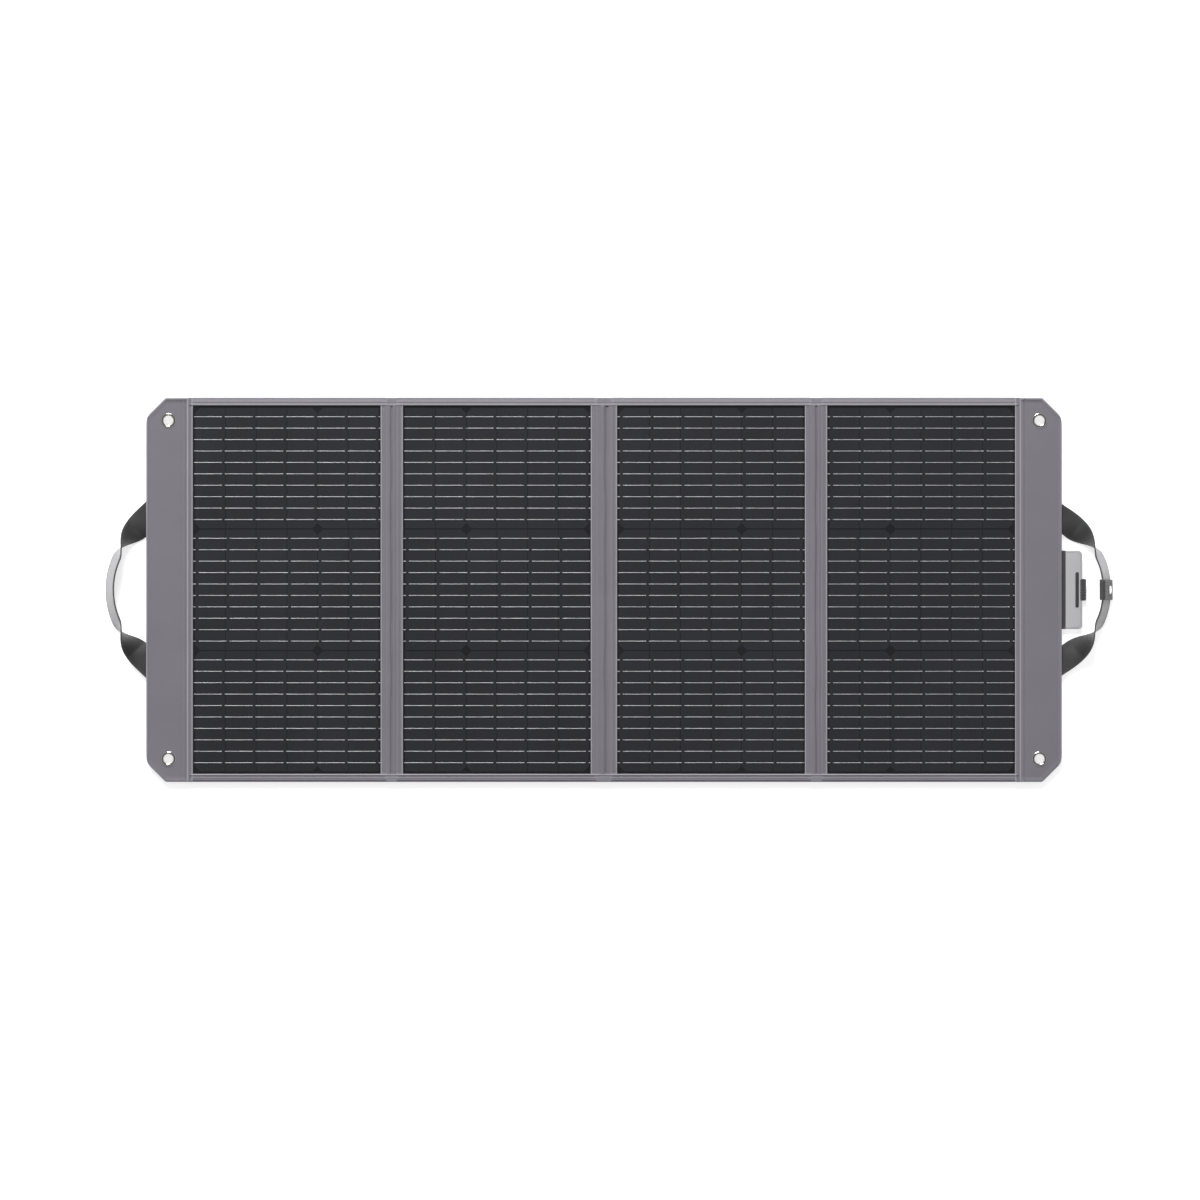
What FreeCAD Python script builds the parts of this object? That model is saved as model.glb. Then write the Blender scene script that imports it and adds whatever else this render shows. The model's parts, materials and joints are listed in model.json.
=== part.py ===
"""Folding four-panel camping solar panel with carrying handles, closure flap and two kickstands.

Millimetres. +X runs along the unfolded row of panels, +Y across it, +Z out of the cells.
The origin is the middle of the object on the ground that it lies on, cells up.
"""
import FreeCAD, Part
import Sketcher
import math
import os
import re

from FreeCAD import Placement, Rotation, Vector

DIMENSIONS = [
    # alias, value in mm unless said, meaning
    ("wafer_side", 182, "side of a full M10 wafer"),
    ("strip_width", 45.5, "a wafer cut in four strips"),
    ("strip_gap", 1, "gap between strips in a row"),
    ("row_gap", 2, "gap between rows of cells"),
    ("corner_cut", 7.5, "leg of the cut corners of a wafer"),
    ("wafer_thick", 0.2, "wafer"),
    ("ribbon_width", 1, "busbar ribbon"),
    ("ribbon_thick", 0.2, "busbar ribbon with its solder"),
    ("ribbon_pitch", 17.29, "from ribbon to ribbon"),
    ("window_edge_x", 3, "last strip to the edge of the window"),
    ("window_edge_y", 3.5, "last row to the edge of the window"),
    ("side_border", 9, "fabric border beside a window"),
    ("end_border", 12.5, "fabric border above and below a window"),
    ("rim", 3, "border sewn down outside the core board"),
    ("fold_gap", 16, "fabric between two boards at an outer fold"),
    ("mid_gap", 22, "fabric between two boards at the middle fold"),
    ("flap_width", 62, "end flap beyond the last core board"),
    ("flap_cut", 29.5, "leg of the cut corners of an end flap"),
    ("flap_round", 9, "radius that softens the cut corners"),
    ("back_level", 9, "underside of the back cover above the ground"),
    ("cloth", 0.6, "cover fabric"),
    ("core_thick", 2, "core board"),
    ("film_thick", 0.7, "front film with its adhesive"),
    ("stiffener_thick", 1.9, "board in an end flap"),
    ("stiffener_inset", 6, "flap edge to its board"),
    ("gusset_thick", 1.2, "two layers of fabric at a fold"),
    ("gusset_trim", 1, "binding short of the ends of a fold"),
    ("grommet_in", 34, "flap's outer edge to a grommet's centre"),
    ("grommet_up", 256, "middle line to a grommet's centre"),
    ("grommet_bore", 7.25, "radius of the hole through a grommet"),
    ("barrel_wall", 0.8, "wall of a grommet's barrel"),
    ("barrel_clear", 0.4, "round hole in the flap, outside the barrel"),
    ("barrel_end", 0.3, "barrel beyond the washer that it is rolled over"),
    ("washer_clear", 0.05, "washer's hole outside the barrel"),
    ("flange_radius", 12, "grommet's flange"),
    ("flange_rise", 1.5, "height of the rolled flange"),
    ("washer_thick", 0.8, "grommet's back washer"),
    ("stand_center", 480, "middle line to the middle of a kickstand"),
    ("stand_width", 170, "kickstand"),
    ("stand_top", 115, "kickstand's hinged end"),
    ("stand_bottom", 202, "kickstand's foot, below the middle line"),
    ("stand_thick", 6, "kickstand with its cover"),
    ("stand_wall", 0.8, "kickstand's cover"),
    ("stand_inset", 3, "kickstand's board inside the edge of its cover"),
    ("foot_length", 12, "rubber foot cap"),
    ("foot_round", 11, "corners of the foot cap"),
    ("board_into_foot", 5, "kickstand's board inside its foot cap"),
    ("hinge_width", 150, "kickstand's hinge strip"),
    ("hinge_thick", 0.8, "kickstand's hinge strip"),
    ("hinge_length", 18, "kickstand's hinge strip sewn to the back"),
    ("hinge_start", 118.5, "middle line to the hinge strip"),
    ("strap_width", 25, "kickstand's limiter strap"),
    ("strap_start", -120, "lower end of the folded limiter strap"),
    ("strap_length", 130, "folded length of the limiter strap"),
    ("strap_clear", 0.3, "folded limiter strap clear of the kickstand and of the back"),
    ("pocket_width", 220, "cable pocket"),
    ("pocket_low", 140, "middle line to the pocket's mouth"),
    ("pocket_high", 272, "middle line to the pocket's far side"),
    ("pocket_wall", 0.8, "pocket's fabric"),
    ("pocket_round", 4.8, "corners of the pocket"),
    ("tape_height", 3.1, "one half of the zip, above or below the slit"),
    ("tape_thick", 1, "zip tape with its teeth"),
    ("zip_slit", 1.2, "slit between the halves of the zip"),
    ("slider_length", 11, "zip slider"),
    ("slider_height", 5.4, "zip slider's plates"),
    ("slider_plate", 1, "thickness of the slider's plates"),
    ("slider_gap", 0.3, "slider's plates clear of the tape"),
    ("slider_bridge", 0.7, "slider's bridge through the slit"),
    ("slider_home", -95, "slider at rest, from the pocket's middle"),
    ("box_width", 90, "junction box along X"),
    ("box_depth", 62, "junction box along Y"),
    ("box_low", 190, "middle line to the junction box"),
    ("box_tall", 5.4, "junction box without its lid"),
    ("box_wall", 1.8, "junction box"),
    ("lid_thick", 1.4, "junction box lid"),
    ("gland_radius", 2.6, "cable gland"),
    ("gland_bore", 1.6, "cable gland's hole"),
    ("gland_length", 12, "cable gland"),
    ("webbing_width", 38, "handle webbing"),
    ("webbing_thick", 1.8, "handle webbing"),
    ("webbing_level", 8, "middle of the webbing where it leaves a flap"),
    ("handle_half", 107, "middle line to a handle's sewn end"),
    ("handle_start", 1.3, "flap's edge to the free part of a handle"),
    ("reach_left", 54, "how far the left handle stands out"),
    ("reach_right", 66, "how far the right handle stands out"),
    ("turn_mid", 116, "degrees that a handle's middle is turned on edge"),
    ("ground_clear", 0.4, "webbing's lower edge above the ground"),
    ("grip_lift", 3.4, "how far the grip wrap raises the right handle's middle"),
    ("tail_length", 45, "webbing sewn under a flap"),
    ("tail_start", 0.3, "flap's edge to the sewn part of the webbing"),
    ("wrap_length", 31, "grip wrap along the handle"),
    ("wrap_low", 20.9, "grip wrap below the webbing's middle"),
    ("wrap_high", 23.6, "grip wrap above the webbing's middle"),
    ("wrap_inside", 2.6, "inside of the grip wrap, across the webbing"),
    ("wrap_wall", 1.4, "grip wrap"),
    ("tab_thick", 1.4, "grip wrap's closing tab"),
    ("tab_length", 32, "grip wrap's closing tab across the webbing"),
    ("tab_gap", 0.3, "closing tab clear of the wrap"),
    ("snap_radius", 6.4, "press-stud cap"),
    ("snap_top", 4.6, "flat top of the press-stud cap"),
    ("snap_rise", 1.8, "press-stud cap"),
    ("snap_in", 8.4, "closing tab's free end to the press stud's centre"),
    ("closure_start", 2.8, "flap's edge to the free part of the closure flap"),
    ("closure_axis", 1.8, "flap's edge to the closure flap's fold"),
    ("closure_reach", 31.3, "flap's edge to the closure flap's end"),
    ("closure_half", 59.5, "half of the closure flap's length"),
    ("closure_thick", 2, "closure flap"),
    ("closure_round", 6, "corners of the closure flap"),
    ("bar_out", 23.4, "flap's edge to the middle of the magnet bar"),
    ("bar_half", 27, "half of the magnet bar's length"),
    ("bar_radius", 2.6, "half of the magnet bar's width"),
    ("bar_thick", 1, "magnet bar"),
    ("pull_half", 16.5, "half of the pull tab's length"),
    ("pull_out", 6, "pull tab beyond the closure flap"),
    ("catch_width", 14, "steel catch plate"),
    ("catch_half", 31, "half of the catch plate's length"),
    ("catch_thick", 0.8, "catch plate"),
    ("catch_in", 10, "flap's edge to the catch plate"),
]

STRIPS = 6  # strips in a row of cells
ROWS = 3  # rows of cells on a panel
BUSBARS = 10  # ribbons across each row
PANELS = (1, 2, 3, 4)
FULL_WAFER_FIRST = (1, 3)  # panels whose rows start with a full wafer, the others start with half a wafer
LOFT_STATIONS = 17  # cross-sections along a handle
PATH_POWER = {-1: 2.1, 1: 2.5}  # how square the curve of each handle is
TURN_SPAN = 0.55  # share of half a handle in which it turns on edge
LIFT_START = 0.5  # share of half a handle, out from its middle, where the grip wrap begins to raise it
CROWN_PLACE = 0.42  # share of an eyelet's flange at which it is highest
CROWN_START = 0.55  # share of the flange's rise at which the barrel begins to roll over
LIFT_SPAN = 0.4  # share of half a handle in which it rises

doc = FreeCAD.newDocument("folding_solar_panel")
sheet = doc.addObject("Spreadsheet::Sheet", "Dims")
size = {}
for row, (alias, value, meaning) in enumerate(DIMENSIONS, start=1):
    sheet.set(f"A{row}", meaning)
    sheet.set(f"B{row}", str(value))
    sheet.setAlias(f"B{row}", alias)
    size[alias] = float(value)
doc.recompute()

nodes = []  # finished sub-parts, each written to a file of its own


def cells(text):
    """An expression in plain aliases, pointed at the spreadsheet."""
    return re.sub(r"[a-z]+_[a-z_]+|\bcloth\b|\brim\b", lambda found: "Dims." + found.group(), text)


def bind(thing, **formulas):
    """Ties properties to the spreadsheet; a double underscore stands for a dot."""
    for name, text in formulas.items():
        thing.setExpression(name.replace("__", "."), cells(text))
    return thing


def keep(thing, label):
    """Marks an object as a finished sub-part."""
    thing.Label = label
    nodes.append(thing)
    return thing


def block(name, x, y, z, dx, dy, dz):
    """A box with its low corner and its sizes given as expressions."""
    thing = doc.addObject("Part::Box", name)
    bind(thing, Length=dx, Width=dy, Height=dz)
    bind(thing, Placement__Base__x=x, Placement__Base__y=y, Placement__Base__z=z)
    return thing


def fused(name, pieces):
    """Separate solids kept together in one object."""
    thing = doc.addObject("Part::Compound", name)
    thing.Links = pieces
    return thing


def cut(name, base, tool):
    thing = doc.addObject("Part::Cut", name)
    thing.Base = base
    thing.Tool = tool
    return thing


def feature(name, shape):
    thing = doc.addObject("Part::Feature", name)
    thing.Shape = shape
    return thing


def body(name):
    return doc.addObject("PartDesign::Body", name)


def origin_plane(owner, role="XY_Plane"):
    return next(part for part in owner.Origin.OriginFeatures if part.Role == role)


def sketch_at(owner, name, level):
    """A sketch parallel to the ground at a level."""
    sketch = owner.newObject("Sketcher::SketchObject", name)
    sketch.AttachmentSupport = [(origin_plane(owner), "")]
    sketch.MapMode = "FlatFace"
    bind(sketch, AttachmentOffset__Base__z=level)
    return sketch


def add_rectangle(sketch, left, right, low, high):
    """A rectangle whose four sides are held by expressions."""
    corners = [Vector(0, 0), Vector(10, 0), Vector(10, 10), Vector(0, 10)]
    first = sketch.GeometryCount
    for i in range(4):
        sketch.addGeometry(Part.LineSegment(corners[i], corners[(i + 1) % 4]), False)
    for i in range(4):
        sketch.addConstraint(Sketcher.Constraint("Coincident", first + i, 2, first + (i + 1) % 4, 1))
    for i in (0, 2):
        sketch.addConstraint(Sketcher.Constraint("Horizontal", first + i))
        sketch.addConstraint(Sketcher.Constraint("Vertical", first + i + 1))
    for kind, corner, text in (
        ("DistanceX", first, left),
        ("DistanceY", first, low),
        ("DistanceX", first + 2, right),
        ("DistanceY", first + 2, high),
    ):
        value = 10.0 if corner == first + 2 else 0.0
        index = sketch.addConstraint(Sketcher.Constraint(kind, -1, 1, corner, 1, value))
        sketch.setExpression(f"Constraints[{index}]", cells(text))


def add_circle(sketch, x, y, radius):
    index = sketch.addGeometry(Part.Circle(Vector(1, 1, 0), Vector(0, 0, 1), 5), False)
    for kind, text in (("DistanceX", x), ("DistanceY", y)):
        where = sketch.addConstraint(Sketcher.Constraint(kind, -1, 1, index, 3, 1.0))
        sketch.setExpression(f"Constraints[{where}]", cells(text))
    where = sketch.addConstraint(Sketcher.Constraint("Radius", index, 5.0))
    sketch.setExpression(f"Constraints[{where}]", cells(radius))


def pad(owner, sketch, height):
    thing = owner.newObject("PartDesign::Pad", sketch.Name + "_pad")
    thing.Profile = sketch
    bind(thing, Length=height)
    sketch.Visibility = False
    return thing


def pocket_up(owner, sketch, depth):
    """A pocket that cuts upwards from its sketch."""
    before = owner.Shape.Volume
    thing = owner.newObject("PartDesign::Pocket", sketch.Name + "_pocket")
    thing.Profile = sketch
    thing.Reversed = True
    bind(thing, Length=depth)
    doc.recompute()
    if not owner.Shape.Volume < before - 1:
        raise RuntimeError(f"{thing.Name} cuts nothing")
    return thing


def upright_edges(shape, test):
    """Names of the straight vertical edges whose middle passes the test."""
    found = []
    for number, edge in enumerate(shape.Edges, start=1):
        if len(edge.Vertexes) != 2:
            continue
        a, b = (v.Point for v in edge.Vertexes)
        if abs(a.x - b.x) + abs(a.y - b.y) < 1e-6 and test((a + b) / 2):
            found.append(f"Edge{number}")
    return found


def dress(owner, kind, name, edges, **sizes):
    """A fillet or chamfer on the body's latest feature."""
    base = owner.Tip
    thing = owner.newObject(f"PartDesign::{kind}", name)
    thing.Base = (base, edges)
    bind(thing, **sizes)
    doc.recompute()
    return thing


# ---------------------------------------------------------------- places

PANEL_WIDE = f"({STRIPS} * strip_width + {STRIPS - 1} * strip_gap + 2 * window_edge_x + 2 * side_border)"
WINDOW_HALF = f"({ROWS} * wafer_side / 2 + {ROWS - 1} * row_gap / 2 + window_edge_y)"
HALF_TALL = f"({WINDOW_HALF} + end_border)"
PANEL_START = {
    1: f"(-mid_gap / 2 - fold_gap - 2 * {PANEL_WIDE})",
    2: f"(-mid_gap / 2 - {PANEL_WIDE})",
    3: "(mid_gap / 2)",
    4: f"(mid_gap / 2 + fold_gap + {PANEL_WIDE})",
}
HALF_LONG = f"(mid_gap / 2 + fold_gap + 2 * {PANEL_WIDE} + flap_width)"
FRONT_LEVEL = "(back_level + 2 * cloth + core_thick + 2 * wafer_thick + film_thick)"

panel_wide = (
    STRIPS * size["strip_width"]
    + (STRIPS - 1) * size["strip_gap"]
    + 2 * size["window_edge_x"]
    + 2 * size["side_border"]
)
window_half = (
    ROWS * size["wafer_side"] / 2 + (ROWS - 1) * size["row_gap"] / 2 + size["window_edge_y"]
)
half_tall = window_half + size["end_border"]
half_long = size["mid_gap"] / 2 + size["fold_gap"] + 2 * panel_wide + size["flap_width"]
panel_start = {
    1: -size["mid_gap"] / 2 - size["fold_gap"] - 2 * panel_wide,
    2: -size["mid_gap"] / 2 - panel_wide,
    3: size["mid_gap"] / 2,
    4: size["mid_gap"] / 2 + size["fold_gap"] + panel_wide,
}
cell_level = size["back_level"] + size["cloth"] + size["core_thick"]
front_level = cell_level + 2 * size["wafer_thick"] + size["film_thick"] + size["cloth"]


# ---------------------------------------------------------------- panels

def strip_wafer(x, y, cut_left, cut_right):
    """One strip of a wafer, with the wafer's cut corners where the strip ends it."""
    wide, tall, leg = size["strip_width"], size["wafer_side"], size["corner_cut"]
    left = leg if cut_left else 0
    right = leg if cut_right else 0
    outline = [(x, y + left)]
    if cut_left:
        outline.append((x + left, y))
    if cut_right:
        outline += [(x + wide - right, y), (x + wide, y + right)]
        outline += [(x + wide, y + tall - right), (x + wide - right, y + tall)]
    else:
        outline += [(x + wide, y), (x + wide, y + tall)]
    if cut_left:
        outline += [(x + left, y + tall), (x, y + tall - left)]
    else:
        outline.append((x, y + tall))
    points = [Vector(px, py, cell_level) for px, py in outline]
    face = Part.Face(Part.makePolygon(points + points[:1]))
    return face.extrude(Vector(0, 0, size["wafer_thick"]))


def cell_wafers(number):
    """All the strips of one panel, three rows of one and a half wafers."""
    first_x = panel_start[number] + size["side_border"] + size["window_edge_x"]
    first_y = -window_half + size["window_edge_y"]
    full_first = number in FULL_WAFER_FIRST
    starts = (0, 4) if full_first else (2,)
    ends = (3,) if full_first else (1, 5)
    strips = []
    for row in range(ROWS):
        for place in range(STRIPS):
            x = first_x + place * (size["strip_width"] + size["strip_gap"])
            y = first_y + row * (size["wafer_side"] + size["row_gap"])
            strips.append(strip_wafer(x, y, place in starts, place in ends))
    keep(feature(f"cell_wafers_{number}", Part.Compound(strips)), f"cell_wafers_{number}")


def busbar_ribbons(number):
    """Ten flat ribbons soldered along each row of cells."""
    length = STRIPS * size["strip_width"] + (STRIPS - 1) * size["strip_gap"]
    x = panel_start[number] + size["side_border"] + size["window_edge_x"]
    ribbons = []
    for row in range(ROWS):
        middle = (row - (ROWS - 1) / 2) * (size["wafer_side"] + size["row_gap"])
        for line in range(BUSBARS):
            y = middle + (line - (BUSBARS - 1) / 2) * size["ribbon_pitch"] - size["ribbon_width"] / 2
            corner = Vector(x, y, cell_level + size["wafer_thick"])
            ribbons.append(Part.makeBox(length, size["ribbon_width"], size["ribbon_thick"], corner))
    keep(feature(f"busbar_ribbons_{number}", Part.Compound(ribbons)), f"busbar_ribbons_{number}")


def laminate(number):
    """The core board and the clear front film of one panel."""
    x = f"{PANEL_START[number]} + rim"
    wide = f"{PANEL_WIDE} - 2 * rim"
    low = f"-{HALF_TALL} + rim"
    tall = f"2 * {HALF_TALL} - 2 * rim"
    core = block(f"core_board_{number}", x, low, "back_level + cloth", wide, tall, "core_thick")
    keep(core, f"core_board_{number}")
    film_level = "back_level + cloth + core_thick + 2 * wafer_thick"
    film = block(f"front_film_{number}", x, low, film_level, wide, tall, "film_thick")
    keep(film, f"front_film_{number}")


def panel_covers(number):
    """The fabric back, and the front frame that is folded over the edge of the laminate."""
    left = PANEL_START[number]
    right = f"{left} + {PANEL_WIDE}"
    back = block(
        f"back_cover_{number}", left, f"-{HALF_TALL}", "back_level", PANEL_WIDE, f"2 * {HALF_TALL}", "cloth"
    )
    keep(back, f"back_cover_{number}")

    frame = body(f"front_frame_{number}")
    outside = sketch_at(frame, f"frame_outside_{number}", "back_level + cloth")
    add_rectangle(outside, left, right, f"-{HALF_TALL}", HALF_TALL)
    pad(frame, outside, f"{FRONT_LEVEL} - back_level - cloth")
    doc.recompute()
    recess = sketch_at(frame, f"frame_recess_{number}", "back_level + cloth")
    add_rectangle(recess, f"{left} + rim", f"{right} - rim", f"-{HALF_TALL} + rim", f"{HALF_TALL} - rim")
    pocket_up(frame, recess, "core_thick + 2 * wafer_thick + film_thick")
    window = sketch_at(frame, f"frame_window_{number}", "back_level + cloth")
    add_rectangle(
        window, f"{left} + side_border", f"{right} - side_border", f"-{WINDOW_HALF}", WINDOW_HALF
    )
    pocket_up(frame, window, "2 * (core_thick + film_thick)")
    keep(frame, f"front_frame_{number}")


def fold_gussets():
    """The fabric that joins two panels at each fold."""
    level = f"(back_level + {FRONT_LEVEL} - gusset_thick) / 2"
    low = f"-{HALF_TALL} + gusset_trim"
    tall = f"2 * {HALF_TALL} - 2 * gusset_trim"
    places = {
        1: (f"{PANEL_START[1]} + {PANEL_WIDE}", "fold_gap"),
        2: ("-mid_gap / 2", "mid_gap"),
        3: (f"{PANEL_START[3]} + {PANEL_WIDE}", "fold_gap"),
    }
    for number, (x, wide) in places.items():
        keep(
            block(f"fold_gusset_{number}", x, low, level, wide, tall, "gusset_thick"),
            f"fold_gusset_{number}",
        )


# ---------------------------------------------------------------- end flaps

def flap_sides(side):
    """The flap's inner and outer edge as expressions, in rising order."""
    inner = f"{side} * ({HALF_LONG} - flap_width)"
    outer = f"{side} * {HALF_LONG}"
    return (inner, outer) if side > 0 else (outer, inner)


def grommet_x(side):
    return f"{side} * ({HALF_LONG} - grommet_in)"


def end_flap(side, name):
    """The fabric flap with cut corners, open inside for its board."""
    edge = side * half_long
    left, right = flap_sides(side)
    flap = body(f"flap_solid_{name}")
    outline = sketch_at(flap, f"flap_outline_{name}", "back_level")
    add_rectangle(outline, left, right, f"-{HALF_TALL}", HALF_TALL)
    pad(flap, outline, f"{FRONT_LEVEL} - back_level")
    doc.recompute()
    corners = upright_edges(flap.Shape, lambda p: abs(p.x - edge) < 0.01)
    dress(flap, "Chamfer", f"flap_cut_{name}", corners, Size="flap_cut")
    cuts = upright_edges(flap.Shape, lambda p: abs(p.x - edge) < size["flap_cut"] + 1)
    dress(flap, "Fillet", f"flap_round_{name}", cuts, Radius="flap_round")
    holes = sketch_at(flap, f"flap_holes_{name}", "back_level")
    for sign in (-1, 1):
        radius = "grommet_bore + barrel_wall + barrel_clear"
        add_circle(holes, grommet_x(side), f"{sign} * grommet_up", radius)
    pocket_up(flap, holes, "2 * (core_thick + film_thick)")

    board = body(f"flap_board_{name}")
    level = f"(back_level + {FRONT_LEVEL} - stiffener_thick) / 2"
    shape = sketch_at(board, f"board_outline_{name}", level)
    add_rectangle(
        shape,
        f"{left} + stiffener_inset",
        f"{right} - stiffener_inset",
        f"-{HALF_TALL} + stiffener_inset",
        f"{HALF_TALL} - stiffener_inset",
    )
    pad(board, shape, "stiffener_thick")
    doc.recompute()
    board_edge = edge - side * size["stiffener_inset"]
    corners = upright_edges(board.Shape, lambda p: abs(p.x - board_edge) < 0.01)
    dress(board, "Chamfer", f"board_cut_{name}", corners, Size="flap_cut")
    holes = sketch_at(board, f"board_holes_{name}", level)
    for sign in (-1, 1):
        radius = "grommet_bore + barrel_wall + barrel_clear"
        add_circle(holes, grommet_x(side), f"{sign} * grommet_up", radius)
    pocket_up(board, holes, "2 * stiffener_thick")
    keep(board, f"flap_board_{name}")
    keep(cut(f"end_flap_{name}_cover", flap, board), f"end_flap_{name}")


def grommets(side, name):
    """Two rolled eyelets, each with its flat washer on the back."""
    bore, wall = size["grommet_bore"], size["barrel_wall"]
    flange, rise = size["flange_radius"], size["flange_rise"]
    low = size["back_level"] - size["washer_thick"] - size["barrel_end"]
    solids = []
    for sign in (-1, 1):
        middle = Vector(side * (half_long - size["grommet_in"]), sign * size["grommet_up"], 0)
        crown = bore + (flange - bore) * CROWN_PLACE
        start = front_level + rise * CROWN_START
        inner_bend = Vector(bore + (crown - bore) * 0.3, 0, front_level + rise * 0.9)
        outer_bend = Vector(crown + (flange - crown) * 0.62, 0, front_level + rise * 0.72)
        profile = Part.Wire(
            [
                Part.makeLine(Vector(bore, 0, low), Vector(bore, 0, start)),
                Part.Arc(Vector(bore, 0, start), inner_bend, Vector(crown, 0, front_level + rise)).toShape(),
                Part.Arc(Vector(crown, 0, front_level + rise), outer_bend, Vector(flange, 0, front_level)).toShape(),
                Part.makeLine(Vector(flange, 0, front_level), Vector(bore + wall, 0, front_level)),
                Part.makeLine(Vector(bore + wall, 0, front_level), Vector(bore + wall, 0, low)),
                Part.makeLine(Vector(bore + wall, 0, low), Vector(bore, 0, low)),
            ]
        )
        eyelet = Part.Face(profile).revolve(Vector(0, 0, 0), Vector(0, 0, 1), 360)
        eyelet.translate(middle)
        base = middle + Vector(0, 0, size["back_level"] - size["washer_thick"])
        disc = Part.makeCylinder(flange, size["washer_thick"], base)
        hole = Part.makeCylinder(bore + wall + size["washer_clear"], size["washer_thick"], base)
        solids += [Part.Solid(eyelet.Solids[0]), disc.cut(hole).Solids[0]]
    keep(feature(f"grommets_{name}", Part.Compound(solids)), f"grommets_{name}")


# ---------------------------------------------------------------- handles

def smoothstep(value):
    value = min(max(value, 0.0), 1.0)
    return value * value * (3 - 2 * value)


def handle_point(side, along):
    """Middle, tangent and turn of a handle's webbing; along runs from 1 to -1 between its sewn ends."""
    power = PATH_POWER[side]
    reach = reach_of(side)
    out = reach * (1 - abs(along) ** power)
    slope = -reach * power * abs(along) ** (power - 1) * math.copysign(1, along)
    turn = math.radians(size["turn_mid"]) * smoothstep((1 - abs(along)) / TURN_SPAN)
    lift = size["grip_lift"] * smoothstep((LIFT_START - abs(along)) / LIFT_SPAN) if side > 0 else 0
    half_up = size["webbing_width"] / 2 * math.sin(turn) + size["webbing_thick"] / 2 * abs(math.cos(turn))
    height = max(size["webbing_level"], half_up + size["ground_clear"] + lift)
    middle = Vector(side * (half_long + out), along * size["handle_half"], height)
    tangent = Vector(side * slope, size["handle_half"], 0).normalize()
    return middle, tangent, turn


def webbing_section(side, along):
    middle, tangent, turn = handle_point(side, along)
    outward = Vector(tangent.y, -tangent.x, 0)
    if outward.x * side < 0:
        outward = outward * -1
    up = Vector(0, 0, 1)
    wide = outward * math.cos(turn) + up * math.sin(turn)
    thick = up * math.cos(turn) - outward * math.sin(turn)
    half_wide = wide * (size["webbing_width"] / 2)
    if abs(along) == 1:
        half_wide = Vector(0, math.copysign(webbing_cut(side) / 2, along), 0)
        middle = middle + Vector(side * size["handle_start"], 0, 0)
    half_thick = thick * (size["webbing_thick"] / 2)
    corners = [
        middle - half_wide - half_thick,
        middle + half_wide - half_thick,
        middle + half_wide + half_thick,
        middle - half_wide + half_thick,
    ]
    return Part.makePolygon(corners + corners[:1])


def reach_of(side):
    return size["reach_right"] if side > 0 else size["reach_left"]


def end_slope(side):
    """How fast the handle leaves the flap: out for each step along the flap's edge."""
    return reach_of(side) * PATH_POWER[side] / size["handle_half"]


def webbing_cut(side):
    """Length along the flap's edge where the slanting webbing crosses it."""
    return size["webbing_width"] * math.sqrt(1 + 1 / end_slope(side) ** 2)


def handle(side, name):
    """The free loop of webbing, and its two tails sewn under the flap."""
    last = LOFT_STATIONS - 1
    sections = [webbing_section(side, 1 - 2 * i / last) for i in range(LOFT_STATIONS)]
    spans = [Part.makeLoft([a, b], True, True) for a, b in zip(sections, sections[1:])]
    loop = spans[0].multiFuse(spans[1:]).removeSplitter()
    keep(feature(f"handle_strap_{name}", loop.Solids[0]), f"handle_strap_{name}")

    inward = Vector(-side * end_slope(side), 1, 0).normalize() * size["tail_length"]
    edge = side * (half_long - size["tail_start"])
    low = size["webbing_level"] - size["webbing_thick"] / 2
    half_cut = webbing_cut(side) / 2
    tails = []
    for sign in (-1, 1):
        run = Vector(inward.x, sign * inward.y, 0)
        near = Vector(edge, sign * (size["handle_half"] - half_cut), low)
        far = Vector(edge, sign * (size["handle_half"] + half_cut), low)
        outline = Part.makePolygon([near, far, far + run, near + run, near])
        tails.append(Part.Face(outline).extrude(Vector(0, 0, size["webbing_thick"])))
    keep(feature(f"handle_tails_{name}", Part.Compound(tails)), f"handle_tails_{name}")


def grip_box(name, low, high, near, far, length):
    """A box square to the turned middle of the right handle, from low to high across its width."""
    middle, _, turn = handle_point(1, 0)
    thing = doc.addObject("Part::Box", name)
    bind(thing, Length=f"{high} - ({low})", Width=length, Height=f"{far} - ({near})")
    angle = -math.degrees(turn)
    rotation = Rotation(Vector(0, 1, 0), angle)
    corner = Vector(value_of(low), -value_of(length) / 2, value_of(near))
    thing.Placement = Placement(middle + rotation.multVec(corner), rotation)
    return thing


def value_of(text):
    """The number that a sum of aliases stands for."""
    total = 0.0
    for sign, word in re.findall(r"([-+]?)\s*([a-z_]+|[\d.]+)", text):
        number = size[word] if word in size else float(word)
        total += -number if sign == "-" else number
    return total


def grip():
    """The wrap around the middle of the right handle, its closing tab and the press stud."""
    outer = grip_box(
        "wrap_outside", "-wrap_low", "wrap_high", "-wrap_inside - wrap_wall", "wrap_inside + wrap_wall",
        "wrap_length",
    )
    inner = grip_box(
        "wrap_hollow", "-wrap_low + wrap_wall", "wrap_high - wrap_wall", "-wrap_inside", "wrap_inside",
        "wrap_length + wrap_wall",
    )
    keep(cut("grip_wrap_sleeve", outer, inner), "grip_wrap")
    near = "-wrap_inside - wrap_wall - tab_gap - tab_thick"
    far = "-wrap_inside - wrap_wall - tab_gap"
    tab = grip_box("grip_tab_plate", "wrap_high - tab_length", "wrap_high", near, far, "wrap_length - wrap_wall")
    keep(tab, "grip_tab")
    middle, _, turn = handle_point(1, 0)
    rotation = Rotation(Vector(0, 1, 0), -math.degrees(turn))
    across = size["wrap_high"] - size["tab_length"] + size["snap_in"]
    face = value_of(near)
    cap = Part.makeCone(size["snap_radius"], size["snap_top"], size["snap_rise"])
    snap = feature("grip_snap_cap", cap)
    flip = rotation.multiply(Rotation(Vector(1, 0, 0), 180))
    snap.Placement = Placement(middle + rotation.multVec(Vector(across, 0, face)), flip)
    keep(snap, "grip_snap")


# ---------------------------------------------------------------- closure

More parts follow.
